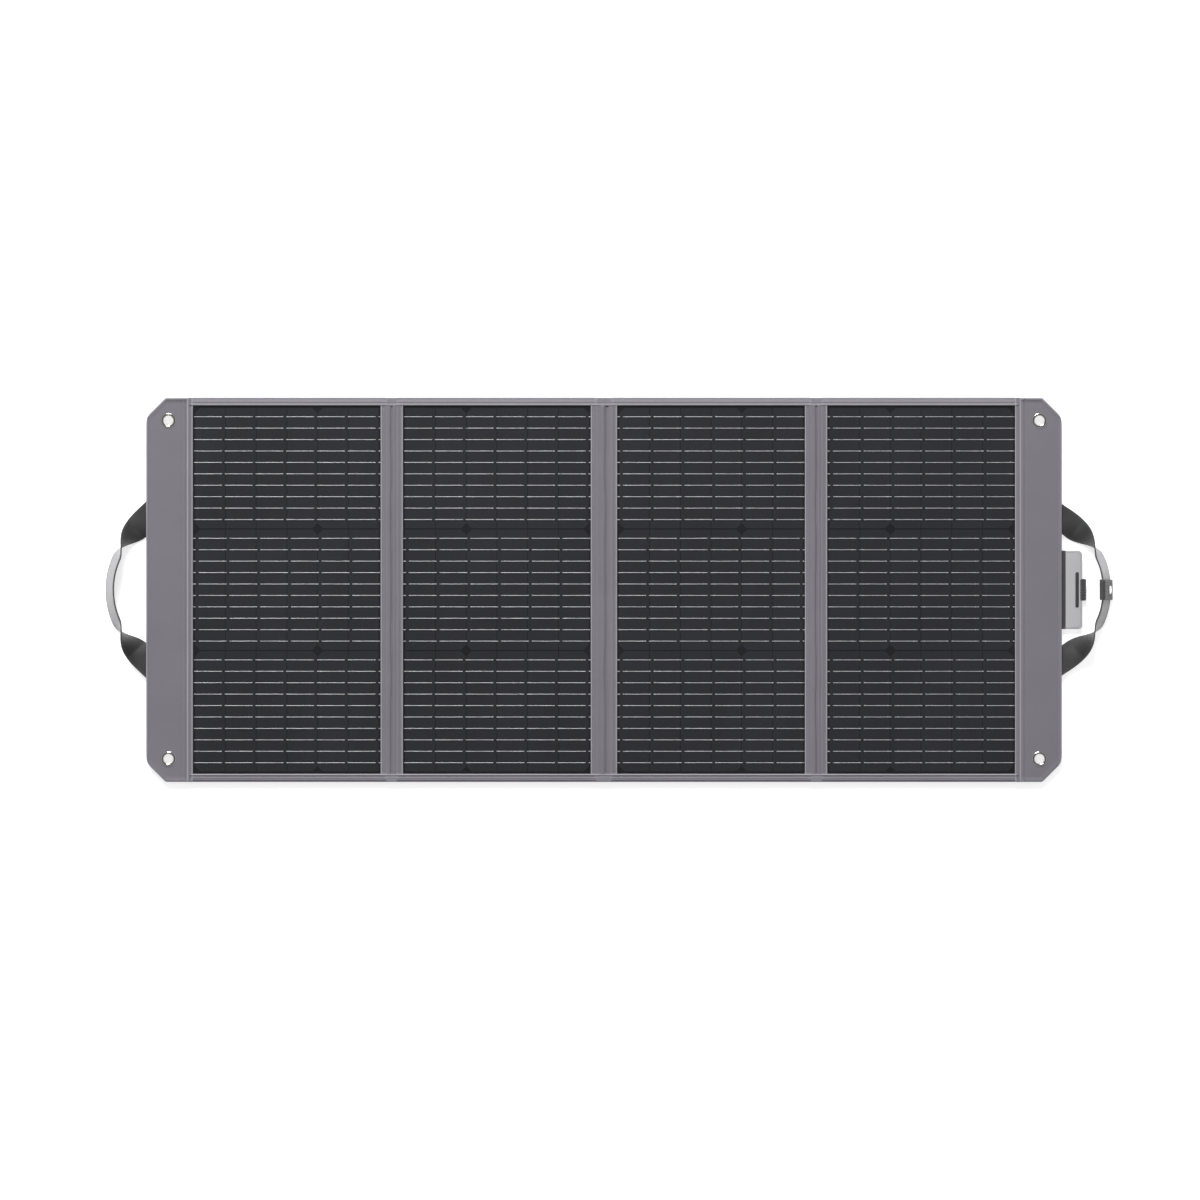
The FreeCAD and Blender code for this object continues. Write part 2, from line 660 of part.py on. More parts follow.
def closure():
    """The flap that wraps round the folded pack, its magnet bar, its pull tab and the steel catch."""
    level = "webbing_level - closure_thick / 2"
    flap = body("closure_flap_cloth")
    outline = sketch_at(flap, "closure_outline", level)
    add_rectangle(
        outline,
        f"{HALF_LONG} + closure_start",
        f"{HALF_LONG} + closure_reach",
        "-closure_half",
        "closure_half",
    )
    pad(flap, outline, "closure_thick")
    doc.recompute()
    end = half_long + size["closure_reach"]
    corners = upright_edges(flap.Shape, lambda p: abs(p.x - end) < 0.01)
    dress(flap, "Fillet", "closure_corners", corners, Radius="closure_round")
    keep(flap, "closure_flap")

    bar = block(
        "bar_middle",
        f"{HALF_LONG} + bar_out - bar_radius",
        "-bar_half + bar_radius",
        "webbing_level + closure_thick / 2",
        "2 * bar_radius",
        "2 * bar_half - 2 * bar_radius",
        "bar_thick",
    )
    ends = []
    for sign in (-1, 1):
        disc = doc.addObject("Part::Cylinder", f"bar_end_{'high' if sign > 0 else 'low'}")
        bind(disc, Radius="bar_radius", Height="bar_thick")
        bind(
            disc,
            Placement__Base__x=f"{HALF_LONG} + bar_out",
            Placement__Base__y=f"{sign} * (bar_half - bar_radius)",
            Placement__Base__z="webbing_level + closure_thick / 2",
        )
        ends.append(disc)
    whole = doc.addObject("Part::MultiFuse", "magnet_bar_shape")
    whole.Shapes = [bar, *ends]
    whole.Refine = True
    keep(whole, "magnet_bar")

    pull = block(
        "pull_tab_strip",
        f"{HALF_LONG} + closure_reach",
        "-pull_half",
        level,
        "pull_out",
        "2 * pull_half",
        "closure_thick",
    )
    keep(pull, "pull_tab")
    catch = block(
        "catch_plate_steel",
        f"-{HALF_LONG} + catch_in",
        "-catch_half",
        "back_level - catch_thick",
        "catch_width",
        "2 * catch_half",
        "catch_thick",
    )
    keep(catch, "catch_plate")


# ---------------------------------------------------------------- kickstands

def kickstand(side, name):
    """A stiff board in a cover that is open at the foot, its rubber foot cap, hinge strip and limiter strap."""
    middle = f"{side} * stand_center"
    left = f"{middle} - stand_width / 2"
    cap = "(-stand_bottom + foot_length)"
    board = block(
        f"stand_board_{name}",
        f"{left} + stand_inset",
        f"{cap} - board_into_foot",
        "stand_wall",
        "stand_width - 2 * stand_inset",
        f"stand_top - stand_inset - {cap} + board_into_foot",
        "stand_thick - 2 * stand_wall",
    )
    keep(board, f"stand_board_{name}")
    sleeve = block(
        f"stand_sleeve_{name}", left, cap, "0", "stand_width", f"stand_top - {cap}", "stand_thick"
    )
    keep(cut(f"stand_sleeve_open_{name}", sleeve, board), f"stand_cover_{name}")

    foot = body(f"foot_cap_{name}")
    outline = sketch_at(foot, f"foot_outline_{name}", "0")
    add_rectangle(outline, left, f"{middle} + stand_width / 2", "-stand_bottom", cap)
    pad(foot, outline, "stand_thick")
    doc.recompute()
    corners = upright_edges(foot.Shape, lambda p: abs(p.y + size["stand_bottom"]) < 0.01)
    dress(foot, "Fillet", f"foot_corners_{name}", corners, Radius="foot_round")
    keep(cut(f"foot_cap_open_{name}", foot, board), f"stand_foot_{name}")

    strip = block(
        f"hinge_strip_{name}",
        f"{middle} - hinge_width / 2",
        "hinge_start",
        "back_level - hinge_thick",
        "hinge_width",
        "hinge_length",
        "hinge_thick",
    )
    keep(strip, f"stand_hinge_{name}")
    strap = block(
        f"limiter_strap_{name}",
        f"{middle} - strap_width / 2",
        "strap_start",
        "stand_thick + strap_clear",
        "strap_width",
        "strap_length",
        "back_level - stand_thick - 2 * strap_clear",
    )
    keep(strap, f"stand_strap_{name}")


# ---------------------------------------------------------------- cable pocket and junction box

def cable_pocket():
    """A shallow pocket with its mouth along the low edge, zipped along its side wall."""
    left = "-stand_center - pocket_width / 2"
    shell = body("pocket_shell")
    outline = sketch_at(shell, "pocket_outline", "0")
    right = "-stand_center + pocket_width / 2"
    add_rectangle(outline, left, right, "pocket_low", "pocket_high")
    pad(shell, outline, "back_level")
    doc.recompute()
    corners = upright_edges(shell.Shape, lambda p: abs(p.y - size["pocket_high"]) < 0.01)
    dress(shell, "Fillet", "pocket_corners", corners, Radius="pocket_round")
    inside = sketch_at(shell, "pocket_inside", "pocket_wall")
    add_rectangle(
        inside,
        f"{left} + pocket_wall",
        f"{right} - pocket_wall",
        "pocket_low",
        "pocket_high - pocket_wall",
    )
    pocket_up(shell, inside, "back_level")
    keep(shell, "cable_pocket")

    halves = []
    for part, level in (("low", "pocket_wall"), ("high", "pocket_wall + tape_height + zip_slit")):
        halves.append(
            block(
                f"zip_{part}",
                f"{left} + pocket_wall",
                "pocket_low",
                level,
                "pocket_width - 2 * pocket_wall",
                "tape_thick",
                "tape_height",
            )
        )
    keep(fused("zip_halves", halves), "zip_tape")

    middle = "(pocket_wall + tape_height + zip_slit / 2)"
    start = "-stand_center + slider_home - slider_length / 2"
    plates = []
    for part, y in (
        ("outer", "pocket_low - slider_gap - slider_plate"),
        ("inner", "pocket_low + tape_thick + slider_gap"),
    ):
        plates.append(
            block(
                f"slider_{part}",
                start,
                y,
                f"{middle} - slider_height / 2",
                "slider_length",
                "slider_plate",
                "slider_height",
            )
        )
    bridge = block(
        "slider_middle",
        start,
        "pocket_low - slider_gap - slider_plate / 2",
        f"{middle} - slider_bridge / 2",
        "slider_length / 3",
        "tape_thick + 2 * slider_gap + slider_plate",
        "slider_bridge",
    )
    whole = doc.addObject("Part::MultiFuse", "zip_slider_shape")
    whole.Shapes = [*plates, bridge]
    keep(whole, "zip_slider")


def junction_box():
    """The flat box that the cells' leads come out into, with its lid and cable gland."""
    low_level = "back_level - box_tall"
    outside = block(
        "box_outside", "-stand_center - box_width / 2", "box_low", low_level, "box_width", "box_depth",
        "box_tall",
    )
    hollow = block(
        "box_hollow",
        "-stand_center - box_width / 2 + box_wall",
        "box_low + box_wall",
        low_level,
        "box_width - 2 * box_wall",
        "box_depth - 2 * box_wall",
        "box_tall - box_wall",
    )
    shell = cut("box_shell", outside, hollow)
    hole = doc.addObject("Part::Cylinder", "gland_hole")
    gland_level = "back_level - box_tall / 2"
    bind(hole, Radius="gland_bore", Height="3 * box_wall")
    hole.Placement.Rotation = Rotation(Vector(1, 0, 0), -90)
    bind(
        hole,
        Placement__Base__x="-stand_center",
        Placement__Base__y="box_low - box_wall",
        Placement__Base__z=gland_level,
    )
    keep(cut("junction_box_shell", shell, hole), "junction_box")
    lid = block(
        "box_lid",
        "-stand_center - box_width / 2",
        "box_low",
        f"{low_level} - lid_thick",
        "box_width",
        "box_depth",
        "lid_thick",
    )
    keep(lid, "junction_lid")
    gland = body("gland_turning")
    profile = gland.newObject("Sketcher::SketchObject", "gland_profile")
    profile.AttachmentSupport = [(origin_plane(gland), "")]
    profile.MapMode = "FlatFace"
    add_rectangle(profile, "gland_bore", "gland_radius", "-gland_length", "0")
    turned = gland.newObject("PartDesign::Revolution", "gland_turned")
    turned.Profile = profile
    turned.ReferenceAxis = (profile, ["V_Axis"])
    turned.Angle = 360
    bind(
        gland,
        Placement__Base__x="-stand_center",
        Placement__Base__y="box_low",
        Placement__Base__z=gland_level,
    )
    keep(gland, "cable_gland")


for panel in PANELS:
    laminate(panel)
    cell_wafers(panel)
    busbar_ribbons(panel)
    panel_covers(panel)
fold_gussets()
for side, name in ((-1, "left"), (1, "right")):
    end_flap(side, name)
    grommets(side, name)
    handle(side, name)
    kickstand(side, name)
grip()
closure()
cable_pocket()
junction_box()
doc.recompute()

for thing in doc.Objects:
    if "Invalid" in thing.State or "Error" in thing.State:
        raise RuntimeError(f"{thing.Name} ({thing.Label}) is {thing.State}")
for thing in nodes:
    if thing.Shape.isNull() or not thing.Shape.isValid() or not thing.Shape.Solids:
        raise RuntimeError(f"{thing.Label} has no valid shape")

os.makedirs("parts", exist_ok=True)
for thing in nodes:
    thing.Shape.exportStep(os.path.join("parts", thing.Label + ".step"))
print(len(nodes), "sub-parts")
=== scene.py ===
"""Looks of the folding solar panel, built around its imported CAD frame. Metres, +Z out of the cells."""
import json
import math

import bmesh
import bpy
import numpy as np
from mathutils import Matrix, Vector


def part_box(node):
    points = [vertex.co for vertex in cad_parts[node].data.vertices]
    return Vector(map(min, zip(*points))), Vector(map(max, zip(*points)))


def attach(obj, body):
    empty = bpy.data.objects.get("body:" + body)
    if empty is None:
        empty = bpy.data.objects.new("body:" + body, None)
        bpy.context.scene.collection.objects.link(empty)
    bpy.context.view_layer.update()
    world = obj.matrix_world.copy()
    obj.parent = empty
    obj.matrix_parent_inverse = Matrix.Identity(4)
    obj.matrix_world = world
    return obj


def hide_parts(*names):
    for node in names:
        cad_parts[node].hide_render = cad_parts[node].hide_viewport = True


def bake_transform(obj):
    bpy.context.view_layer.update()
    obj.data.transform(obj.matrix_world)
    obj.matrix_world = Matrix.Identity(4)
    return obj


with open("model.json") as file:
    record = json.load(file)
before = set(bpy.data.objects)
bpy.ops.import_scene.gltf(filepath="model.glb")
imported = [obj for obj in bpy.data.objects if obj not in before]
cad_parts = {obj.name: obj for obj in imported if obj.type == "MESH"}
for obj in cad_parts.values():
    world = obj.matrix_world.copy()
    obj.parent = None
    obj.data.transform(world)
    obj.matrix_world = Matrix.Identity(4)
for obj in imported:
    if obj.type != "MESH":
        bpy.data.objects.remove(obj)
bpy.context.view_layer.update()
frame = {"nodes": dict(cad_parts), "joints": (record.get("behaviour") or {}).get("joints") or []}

MM = 0.001

# ---------------------------------------------------------------- places read from the frame


def span(node, axis):
    """Lowest and highest place of a CAD node along an axis."""
    low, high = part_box(node)
    return low["xyz".index(axis)], high["xyz".index(axis)]


PANELS = (1, 2, 3, 4)
PANEL = {number: span(f"front_frame_{number}", "x") for number in PANELS}
HALF_TALL = span("front_frame_2", "y")[1]
BACK_LOW, BACK_HIGH = span("back_cover_2", "z")
FILM_TOP = span("front_film_2", "z")[1]
FRONT = span("front_frame_2", "z")[1]
MIDDLE = (BACK_LOW + FRONT) / 2
CELLS = {number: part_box(f"cell_wafers_{number}") for number in PANELS}
WINDOW_GAP_X = 3 * MM
WINDOW_GAP_Y = 3.5 * MM
WINDOW = {
    number: (CELLS[number][0].x - WINDOW_GAP_X, CELLS[number][1].x + WINDOW_GAP_X) for number in PANELS
}
WINDOW_HALF = CELLS[1][1].y + WINDOW_GAP_Y
FLAP_EDGE = span("end_flap_right", "x")[1]
FLAP_CUT = 29.5 * MM
FLAP_SOFT = 26 * MM  # radius where a cut corner meets the end edge
FLAP_CRISP = 9 * MM  # radius where it meets the long edge
GROMMET_X = sum(span("grommets_right", "x")) / 2
GROMMET_Y = span("grommets_right", "y")[1] - 12 * MM
GROMMET_BORE = 7.25 * MM
JOINTS = {joint["name"]: joint for joint in frame["joints"]}


# ---------------------------------------------------------------- node helpers

def link(tree, start, end):
    tree.links.new(start, end)


def math_node(tree, operation, *values):
    """A Math node whose inputs are numbers or sockets."""
    node = tree.nodes.new("ShaderNodeMath")
    node.operation = operation
    for socket, value in zip(node.inputs, values):
        if isinstance(value, bpy.types.NodeSocket):
            link(tree, value, socket)
        else:
            socket.default_value = value
    return node.outputs[0]


def mix_colour(tree, amount, first, second, kind="MIX"):
    node = tree.nodes.new("ShaderNodeMix")
    node.data_type = "RGBA"
    node.blend_type = kind
    for name, value in (("Factor_Float", amount), ("A_Color", first), ("B_Color", second)):
        socket = next(s for s in node.inputs if s.identifier == name)
        if isinstance(value, bpy.types.NodeSocket):
            link(tree, value, socket)
        else:
            socket.default_value = (*value, 1) if hasattr(value, "__len__") and len(value) == 3 else value
    return next(s for s in node.outputs if s.identifier == "Result_Color")


def noise(tree, vector, scale, detail=3.0, rough=0.55):
    node = tree.nodes.new("ShaderNodeTexNoise")
    link(tree, vector, node.inputs["Vector"])
    node.inputs["Scale"].default_value = scale
    node.inputs["Detail"].default_value = detail
    node.inputs["Roughness"].default_value = rough
    return node.outputs["Fac"]


def new_group(name, inputs, outputs):
    """A shader node group with named sockets; each entry is (name, kind, default)."""
    group = bpy.data.node_groups.new(name, "ShaderNodeTree")
    for label, kind, default in inputs:
        socket = group.interface.new_socket(label, in_out="INPUT", socket_type=f"NodeSocket{kind}")
        if default is not None:
            socket.default_value = default
    for label, kind in outputs:
        group.interface.new_socket(label, in_out="OUTPUT", socket_type=f"NodeSocket{kind}")
    return group, group.nodes.new("NodeGroupInput"), group.nodes.new("NodeGroupOutput")


def weave_group():
    """Plain weave: height of the threads, and how much each crossing is in shade."""
    group, entry, exit_ = new_group(
        "weave",
        [("Vector", "Vector", None), ("Threads per metre", "Float", 1200.0), ("Thread ratio", "Float", 1.0)],
        [("Height", "Float"), ("Shade", "Float")],
    )
    split = group.nodes.new("ShaderNodeSeparateXYZ")
    link(group, entry.outputs["Vector"], split.inputs[0])
    along = math_node(group, "MULTIPLY", split.outputs["X"], entry.outputs["Threads per metre"])
    across = math_node(group, "MULTIPLY", split.outputs["Y"], entry.outputs["Threads per metre"])
    across = math_node(group, "MULTIPLY", across, entry.outputs["Thread ratio"])

    def threads(place):
        """Half a sine wave for each thread."""
        turn = math_node(group, "MULTIPLY", place, math.pi)
        return math_node(group, "ABSOLUTE", math_node(group, "SINE", turn))

    warp = threads(along)
    weft = threads(across)
    steps = math_node(group, "ADD", math_node(group, "FLOOR", along), math_node(group, "FLOOR", across))
    over = math_node(group, "FLOORED_MODULO", steps, 2.0)
    mixed = group.nodes.new("ShaderNodeMix")
    link(group, over, mixed.inputs[0])
    link(group, warp, mixed.inputs[2])
    link(group, weft, mixed.inputs[3])
    link(group, mixed.outputs[0], exit_.inputs["Height"])
    shade = math_node(group, "POWER", mixed.outputs[0], 0.5)
    link(group, shade, exit_.inputs["Shade"])
    return group


def mottle_group():
    """Slow and fine drift of a colour, as dye and handling leave it."""
    group, entry, exit_ = new_group(
        "mottle",
        [
            ("Vector", "Vector", None),
            ("Color", "Color", (0.5, 0.5, 0.5, 1)),
            ("Amount", "Float", 0.1),
            ("Scale", "Float", 12.0),
        ],
        [("Color", "Color"), ("Mask", "Float")],
    )
    coarse = group.nodes.new("ShaderNodeTexNoise")
    link(group, entry.outputs["Vector"], coarse.inputs["Vector"])
    link(group, entry.outputs["Scale"], coarse.inputs["Scale"])
    coarse.inputs["Detail"].default_value = 4.0
    fine = noise(group, entry.outputs["Vector"], 900.0, 2.0)
    both = math_node(group, "MULTIPLY", coarse.outputs["Fac"], 0.7)
    both = math_node(group, "MULTIPLY_ADD", fine, 0.3, both)
    drift = math_node(group, "SUBTRACT", both, 0.5)
    drift = math_node(group, "MULTIPLY", drift, entry.outputs["Amount"])
    factor = math_node(group, "ADD", math_node(group, "MULTIPLY", drift, 4.0), 1.0)
    scaled = group.nodes.new("ShaderNodeVectorMath")
    scaled.operation = "SCALE"
    link(group, entry.outputs["Color"], scaled.inputs[0])
    link(group, factor, scaled.inputs["Scale"])
    link(group, scaled.outputs[0], exit_.inputs["Color"])
    link(group, both, exit_.inputs["Mask"])
    return group


def edge_wear_and_highlight_group():
    """Lightens convex edges: partly rub wear where a cover or a moulding rubs, partly a painted highlight
    along the edges.
    """
    group, entry, exit_ = new_group(
        "edge_wear_and_highlight",
        [
            ("Color", "Color", (0.5, 0.5, 0.5, 1)),
            ("Worn", "Color", (0.7, 0.7, 0.7, 1)),
            ("Amount", "Float", 0.5),
            ("Vector", "Vector", None),
        ],
        [("Color", "Color"), ("Mask", "Float")],
    )
    geometry = group.nodes.new("ShaderNodeNewGeometry")
    ramp = group.nodes.new("ShaderNodeMapRange")
    link(group, geometry.outputs["Pointiness"], ramp.inputs["Value"])
    ramp.inputs["From Min"].default_value = 0.505
    ramp.inputs["From Max"].default_value = 0.56
    broken = noise(group, entry.outputs["Vector"], 160.0, 4.0)
    mask = math_node(group, "MULTIPLY", ramp.outputs[0], math_node(group, "ADD", broken, 0.4))
    mask = math_node(group, "MULTIPLY", mask, entry.outputs["Amount"])
    mixed = mix_colour(group, mask, entry.outputs["Color"], entry.outputs["Worn"])
    link(group, mixed, exit_.inputs["Color"])
    link(group, mask, exit_.inputs["Mask"])
    return group


WEAVE = weave_group()
MOTTLE = mottle_group()
EDGE_WEAR_AND_HIGHLIGHT = edge_wear_and_highlight_group()


def use_group(tree, group, **values):
    """Places a group; a keyword is a socket's name with _ for a space."""
    node = tree.nodes.new("ShaderNodeGroup")
    node.node_tree = group
    for name, value in values.items():
        socket = node.inputs[name.replace("_", " ")]
        if isinstance(value, bpy.types.NodeSocket):
            link(tree, value, socket)
        elif hasattr(value, "__len__") and len(value) == 3 and socket.type == "RGBA":
            socket.default_value = (*value, 1)
        else:
            socket.default_value = value
    return node


def new_material(name, roughness=0.6, metallic=0.0, **sockets):
    """A material with its Principled shader; other keywords set the shader's own sockets."""
    material = bpy.data.materials.new(name)
    material.use_nodes = True
    tree = material.node_tree
    shader = tree.nodes["Principled BSDF"]
    shader.inputs["Roughness"].default_value = roughness
    shader.inputs["Metallic"].default_value = metallic
    for label, value in sockets.items():
        shader.inputs[label.replace("_", " ")].default_value = value
    return material, tree, shader


def cloth_coordinates(tree):
    node = tree.nodes.new("ShaderNodeUVMap")
    node.uv_map = "cloth"
    return node.outputs["UV"]


def object_coordinates(tree):
    return tree.nodes.new("ShaderNodeTexCoord").outputs["Object"]


def add_bump(tree, shader, height, strength=0.3, distance=0.0004):
    bump = tree.nodes.new("ShaderNodeBump")
    bump.inputs["Strength"].default_value = strength
    bump.inputs["Distance"].default_value = distance
    link(tree, height, bump.inputs["Height"])
    link(tree, bump.outputs[0], shader.inputs["Normal"])


# ---------------------------------------------------------------- materials

def woven(name, colour, worn_and_lit, threads=1250.0, ratio=1.0, amount=0.08, roughness=0.82, bump=0.35, sheen=0.15,
          wear_and_highlight=0.35, shade=0.28):
    """Woven cloth: threads in relief, dark crossings, a slow drift of the dye and paler edges, partly rub
    wear and partly a painted highlight.
    """
    material, tree, shader = new_material(name, roughness, Sheen_Weight=sheen, Sheen_Roughness=0.5)
    place = cloth_coordinates(tree)
    threads_node = use_group(tree, WEAVE, Vector=place, Threads_per_metre=threads, Thread_ratio=ratio)
    tint = use_group(tree, MOTTLE, Vector=place, Color=colour, Amount=amount, Scale=9.0)
    edge = use_group(tree, EDGE_WEAR_AND_HIGHLIGHT, Color=tint.outputs["Color"], Worn=worn_and_lit, Amount=wear_and_highlight, Vector=place)
    dark = [part * (1 - shade) for part in colour]
    depth = math_node(tree, "SUBTRACT", 1.0, threads_node.outputs["Shade"])
    final = mix_colour(tree, math_node(tree, "MULTIPLY", depth, 0.6), edge.outputs["Color"], dark)
    link(tree, final, shader.inputs["Base Color"])
    rough = math_node(tree, "MULTIPLY_ADD", tint.outputs["Mask"], 0.2, roughness - 0.1)
    link(tree, rough, shader.inputs["Roughness"])
    add_bump(tree, shader, threads_node.outputs["Height"], bump, 0.00022)
    return material


def ribbed_webbing(name, colour, worn_and_lit, ribs=620.0, roughness=0.6, sheen=0.3):
    """Nylon webbing: ribs across the strap, faint lines along it."""
    material, tree, shader = new_material(name, roughness, Sheen_Weight=sheen, Sheen_Roughness=0.35)
    place = cloth_coordinates(tree)
    cloth = use_group(tree, WEAVE, Vector=place, Threads_per_metre=ribs, Thread_ratio=1.9)
    tint = use_group(tree, MOTTLE, Vector=place, Color=colour, Amount=0.12, Scale=25.0)
    # paler convex edges: partly rub wear, partly a painted highlight
    edge = use_group(tree, EDGE_WEAR_AND_HIGHLIGHT, Color=tint.outputs["Color"], Worn=worn_and_lit, Amount=0.5, Vector=place)
    depth = math_node(tree, "SUBTRACT", 1.0, cloth.outputs["Shade"])
    dark = [part * 0.45 for part in colour]
    final = mix_colour(tree, math_node(tree, "MULTIPLY", depth, 0.8), edge.outputs["Color"], dark)
    link(tree, final, shader.inputs["Base Color"])
    add_bump(tree, shader, cloth.outputs["Height"], 0.5, 0.0004)
    return material


def moulded(name, colour, worn_and_lit, roughness=0.5, grain=1400.0, bump=0.15, **sockets):
    """Moulded plastic or rubber with a fine spark-eroded grain."""
    material, tree, shader = new_material(name, roughness, **sockets)
    place = object_coordinates(tree)
    tint = use_group(tree, MOTTLE, Vector=place, Color=colour, Amount=0.1, Scale=30.0)
    # paler convex edges: partly rub wear, partly a painted highlight
    edge = use_group(tree, EDGE_WEAR_AND_HIGHLIGHT, Color=tint.outputs["Color"], Worn=worn_and_lit, Amount=0.6, Vector=place)
    link(tree, edge.outputs["Color"], shader.inputs["Base Color"])
    rough = math_node(tree, "MULTIPLY_ADD", tint.outputs["Mask"], 0.25, roughness - 0.12)
    link(tree, rough, shader.inputs["Roughness"])
    add_bump(tree, shader, noise(tree, place, grain, 2.0), bump, 0.0002)
    return material


def metal(name, colour, roughness=0.2, scratch=0.08, streak=(400.0, 400.0, 400.0)):
    """Plated or brushed metal with fine scuffs."""
    material, tree, shader = new_material(name, roughness, 1.0)
    place = object_coordinates(tree)
    mapping = tree.nodes.new("ShaderNodeMapping")
    mapping.inputs["Scale"].default_value = streak
    link(tree, place, mapping.inputs["Vector"])
    scuffs = noise(tree, mapping.outputs[0], 1.0, 5.0, 0.7)
    tint = use_group(tree, MOTTLE, Vector=place, Color=colour, Amount=0.05, Scale=60.0)
    link(tree, tint.outputs["Color"], shader.inputs["Base Color"])
    rough = math_node(tree, "MULTIPLY_ADD", scuffs, scratch * 2, roughness - scratch)
    link(tree, rough, shader.inputs["Roughness"])
    add_bump(tree, shader, scuffs, 0.08, 0.0001)
    return material


def cell_material():
    """Dark silicon with hair-thin printed fingers, each strip in a shade of its own."""
    material, tree, shader = new_material("silicon_cell", 0.5, Specular_IOR_Level=0.18)
    place = object_coordinates(tree)
    split = tree.nodes.new("ShaderNodeSeparateXYZ")
    link(tree, place, split.inputs[0])
    finger = math_node(tree, "PINGPONG", split.outputs["X"], 0.00065)
    finger = math_node(tree, "LESS_THAN", finger, 0.00006)
    island = tree.nodes.new("ShaderNodeNewGeometry")
    shade = math_node(tree, "MULTIPLY_ADD", island.outputs["Random Per Island"], 0.16, 0.92)
    grain = noise(tree, place, 260.0, 5.0, 0.7)
    shade = math_node(tree, "MULTIPLY", shade, math_node(tree, "MULTIPLY_ADD", grain, 0.35, 0.83))
    base = tree.nodes.new("ShaderNodeVectorMath")
    base.operation = "SCALE"
    base.inputs[0].default_value = (0.0112, 0.0115, 0.0140)
    link(tree, shade, base.inputs["Scale"])
    final = mix_colour(tree, math_node(tree, "MULTIPLY", finger, 0.35), base.outputs[0], (0.05, 0.05, 0.052))
    link(tree, final, shader.inputs["Base Color"])
    add_bump(tree, shader, grain, 0.12, 0.0001)
    return material


def film_material():
    """Clear front film with a fine embossed pebble; its grey colour, let through at a faint, drifting alpha,
    is a painted reflection that greys what lies under it.
    """
    material, tree, shader = new_material("embossed_film", 0.38, IOR=1.45)
    place = object_coordinates(tree)
    mapping = tree.nodes.new("ShaderNodeMapping")
    mapping.inputs["Scale"].default_value = (1, 1, 0.2)
    link(tree, place, mapping.inputs["Vector"])
    pebble = tree.nodes.new("ShaderNodeTexVoronoi")
    pebble.inputs["Scale"].default_value = 900.0
    link(tree, mapping.outputs[0], pebble.inputs["Vector"])
    # the faint, drifting alpha of the grey colour sets the strength of the painted reflection
    reflection_drift = noise(tree, place, 5.0, 3.0)
    reflection_veil = math_node(tree, "MULTIPLY_ADD", reflection_drift, 0.03, 0.02)
    link(tree, reflection_veil, shader.inputs["Alpha"])
    # this grey is the painted reflection of the bright surroundings on the film
    shader.inputs["Base Color"].default_value = (0.155, 0.16, 0.178, 1)
    rough = math_node(tree, "MULTIPLY_ADD", pebble.outputs["Distance"], 0.25, 0.3)
    link(tree, rough, shader.inputs["Roughness"])
    add_bump(tree, shader, pebble.outputs["Distance"], 0.35, 0.0003)
    return material


def solder_material():
    """Tinned ribbon, satin, with brighter and duller stretches."""
    material, tree, shader = new_material("tinned_ribbon", 0.42, 0.55)
    place = object_coordinates(tree)
    streaks = noise(tree, place, 120.0, 4.0)
    shade = mix_colour(tree, streaks, (0.34, 0.34, 0.345), (0.66, 0.66, 0.67))
    link(tree, shade, shader.inputs["Base Color"])
    add_bump(tree, shader, noise(tree, place, 1500.0, 2.0), 0.2, 0.0002)
    return material


def thread_material(name, colour):
    """Twisted sewing thread."""
    material, tree, shader = new_material(name, 0.65, Sheen_Weight=0.25)
    place = object_coordinates(tree)
    wave = tree.nodes.new("ShaderNodeTexWave")
    wave.inputs["Scale"].default_value = 900.0
    wave.bands_direction = "DIAGONAL"
    link(tree, place, wave.inputs["Vector"])
    dark = [part * 0.6 for part in colour]
    link(tree, mix_colour(tree, wave.outputs["Fac"], dark, colour), shader.inputs["Base Color"])
    add_bump(tree, shader, wave.outputs["Fac"], 0.4, 0.0001)
    return material


COVER = woven("cover_cloth", (0.172, 0.163, 0.190), (0.27, 0.26, 0.295))
# the long bands: the cover cloth made lighter, a painted highlight for the light that falls on them
BAND_LIT = woven("band_cloth_painted_light", (0.215, 0.205, 0.234), (0.37, 0.36, 0.395))
# the hems and rims: the cover cloth made much lighter, a painted highlight along their rolled edges
HEM_HIGHLIGHT = woven("hem_cloth_painted_highlight", (0.30, 0.29, 0.32), (0.42, 0.41, 0.45), wear_and_highlight=0.2)
BACK = woven("back_cloth", (0.040, 0.040, 0.045), (0.085, 0.085, 0.09), threads=1100.0, roughness=0.86)
STAND = woven("stand_cloth", (0.050, 0.050, 0.055), (0.11, 0.11, 0.115), threads=900.0)
LINING = woven(
    "handle_lining", (0.29, 0.284, 0.296), (0.44, 0.435, 0.45), threads=800.0, roughness=0.55, sheen=0.35
)
PALE = woven("closure_cloth", (0.46, 0.455, 0.47), (0.58, 0.575, 0.59), threads=1000.0, roughness=0.7)
WEBBING = ribbed_webbing("black_webbing", (0.030, 0.030, 0.031), (0.09, 0.09, 0.092), roughness=0.5)
TRIM = ribbed_webbing("dark_trim", (0.052, 0.052, 0.055), (0.12, 0.12, 0.122), ribs=900.0)
RUBBER = moulded("black_rubber", (0.022, 0.022, 0.022), (0.07, 0.07, 0.07), roughness=0.75)
PLASTIC = moulded("black_plastic", (0.030, 0.030, 0.031), (0.09, 0.09, 0.09), roughness=0.48)
BOARD = moulded(
    "black_board", (0.003, 0.003, 0.0035), (0.006, 0.006, 0.006), roughness=0.75, Specular_IOR_Level=0.08
)
NICKEL = metal("polished_nickel", (0.66, 0.65, 0.63), 0.12, 0.05)
STEEL = metal("brushed_steel", (0.46, 0.46, 0.47), 0.34, 0.1, (30.0, 900.0, 30.0))
DARK_METAL = metal("black_zinc", (0.09, 0.09, 0.095), 0.35, 0.08)
CELL = cell_material()
FILM = film_material()
RIBBON = solder_material()
GREY_THREAD = thread_material("grey_thread", (0.30, 0.29, 0.33))
DARK_THREAD = thread_material("dark_thread", (0.06, 0.06, 0.065))


# ---------------------------------------------------------------- mesh helpers

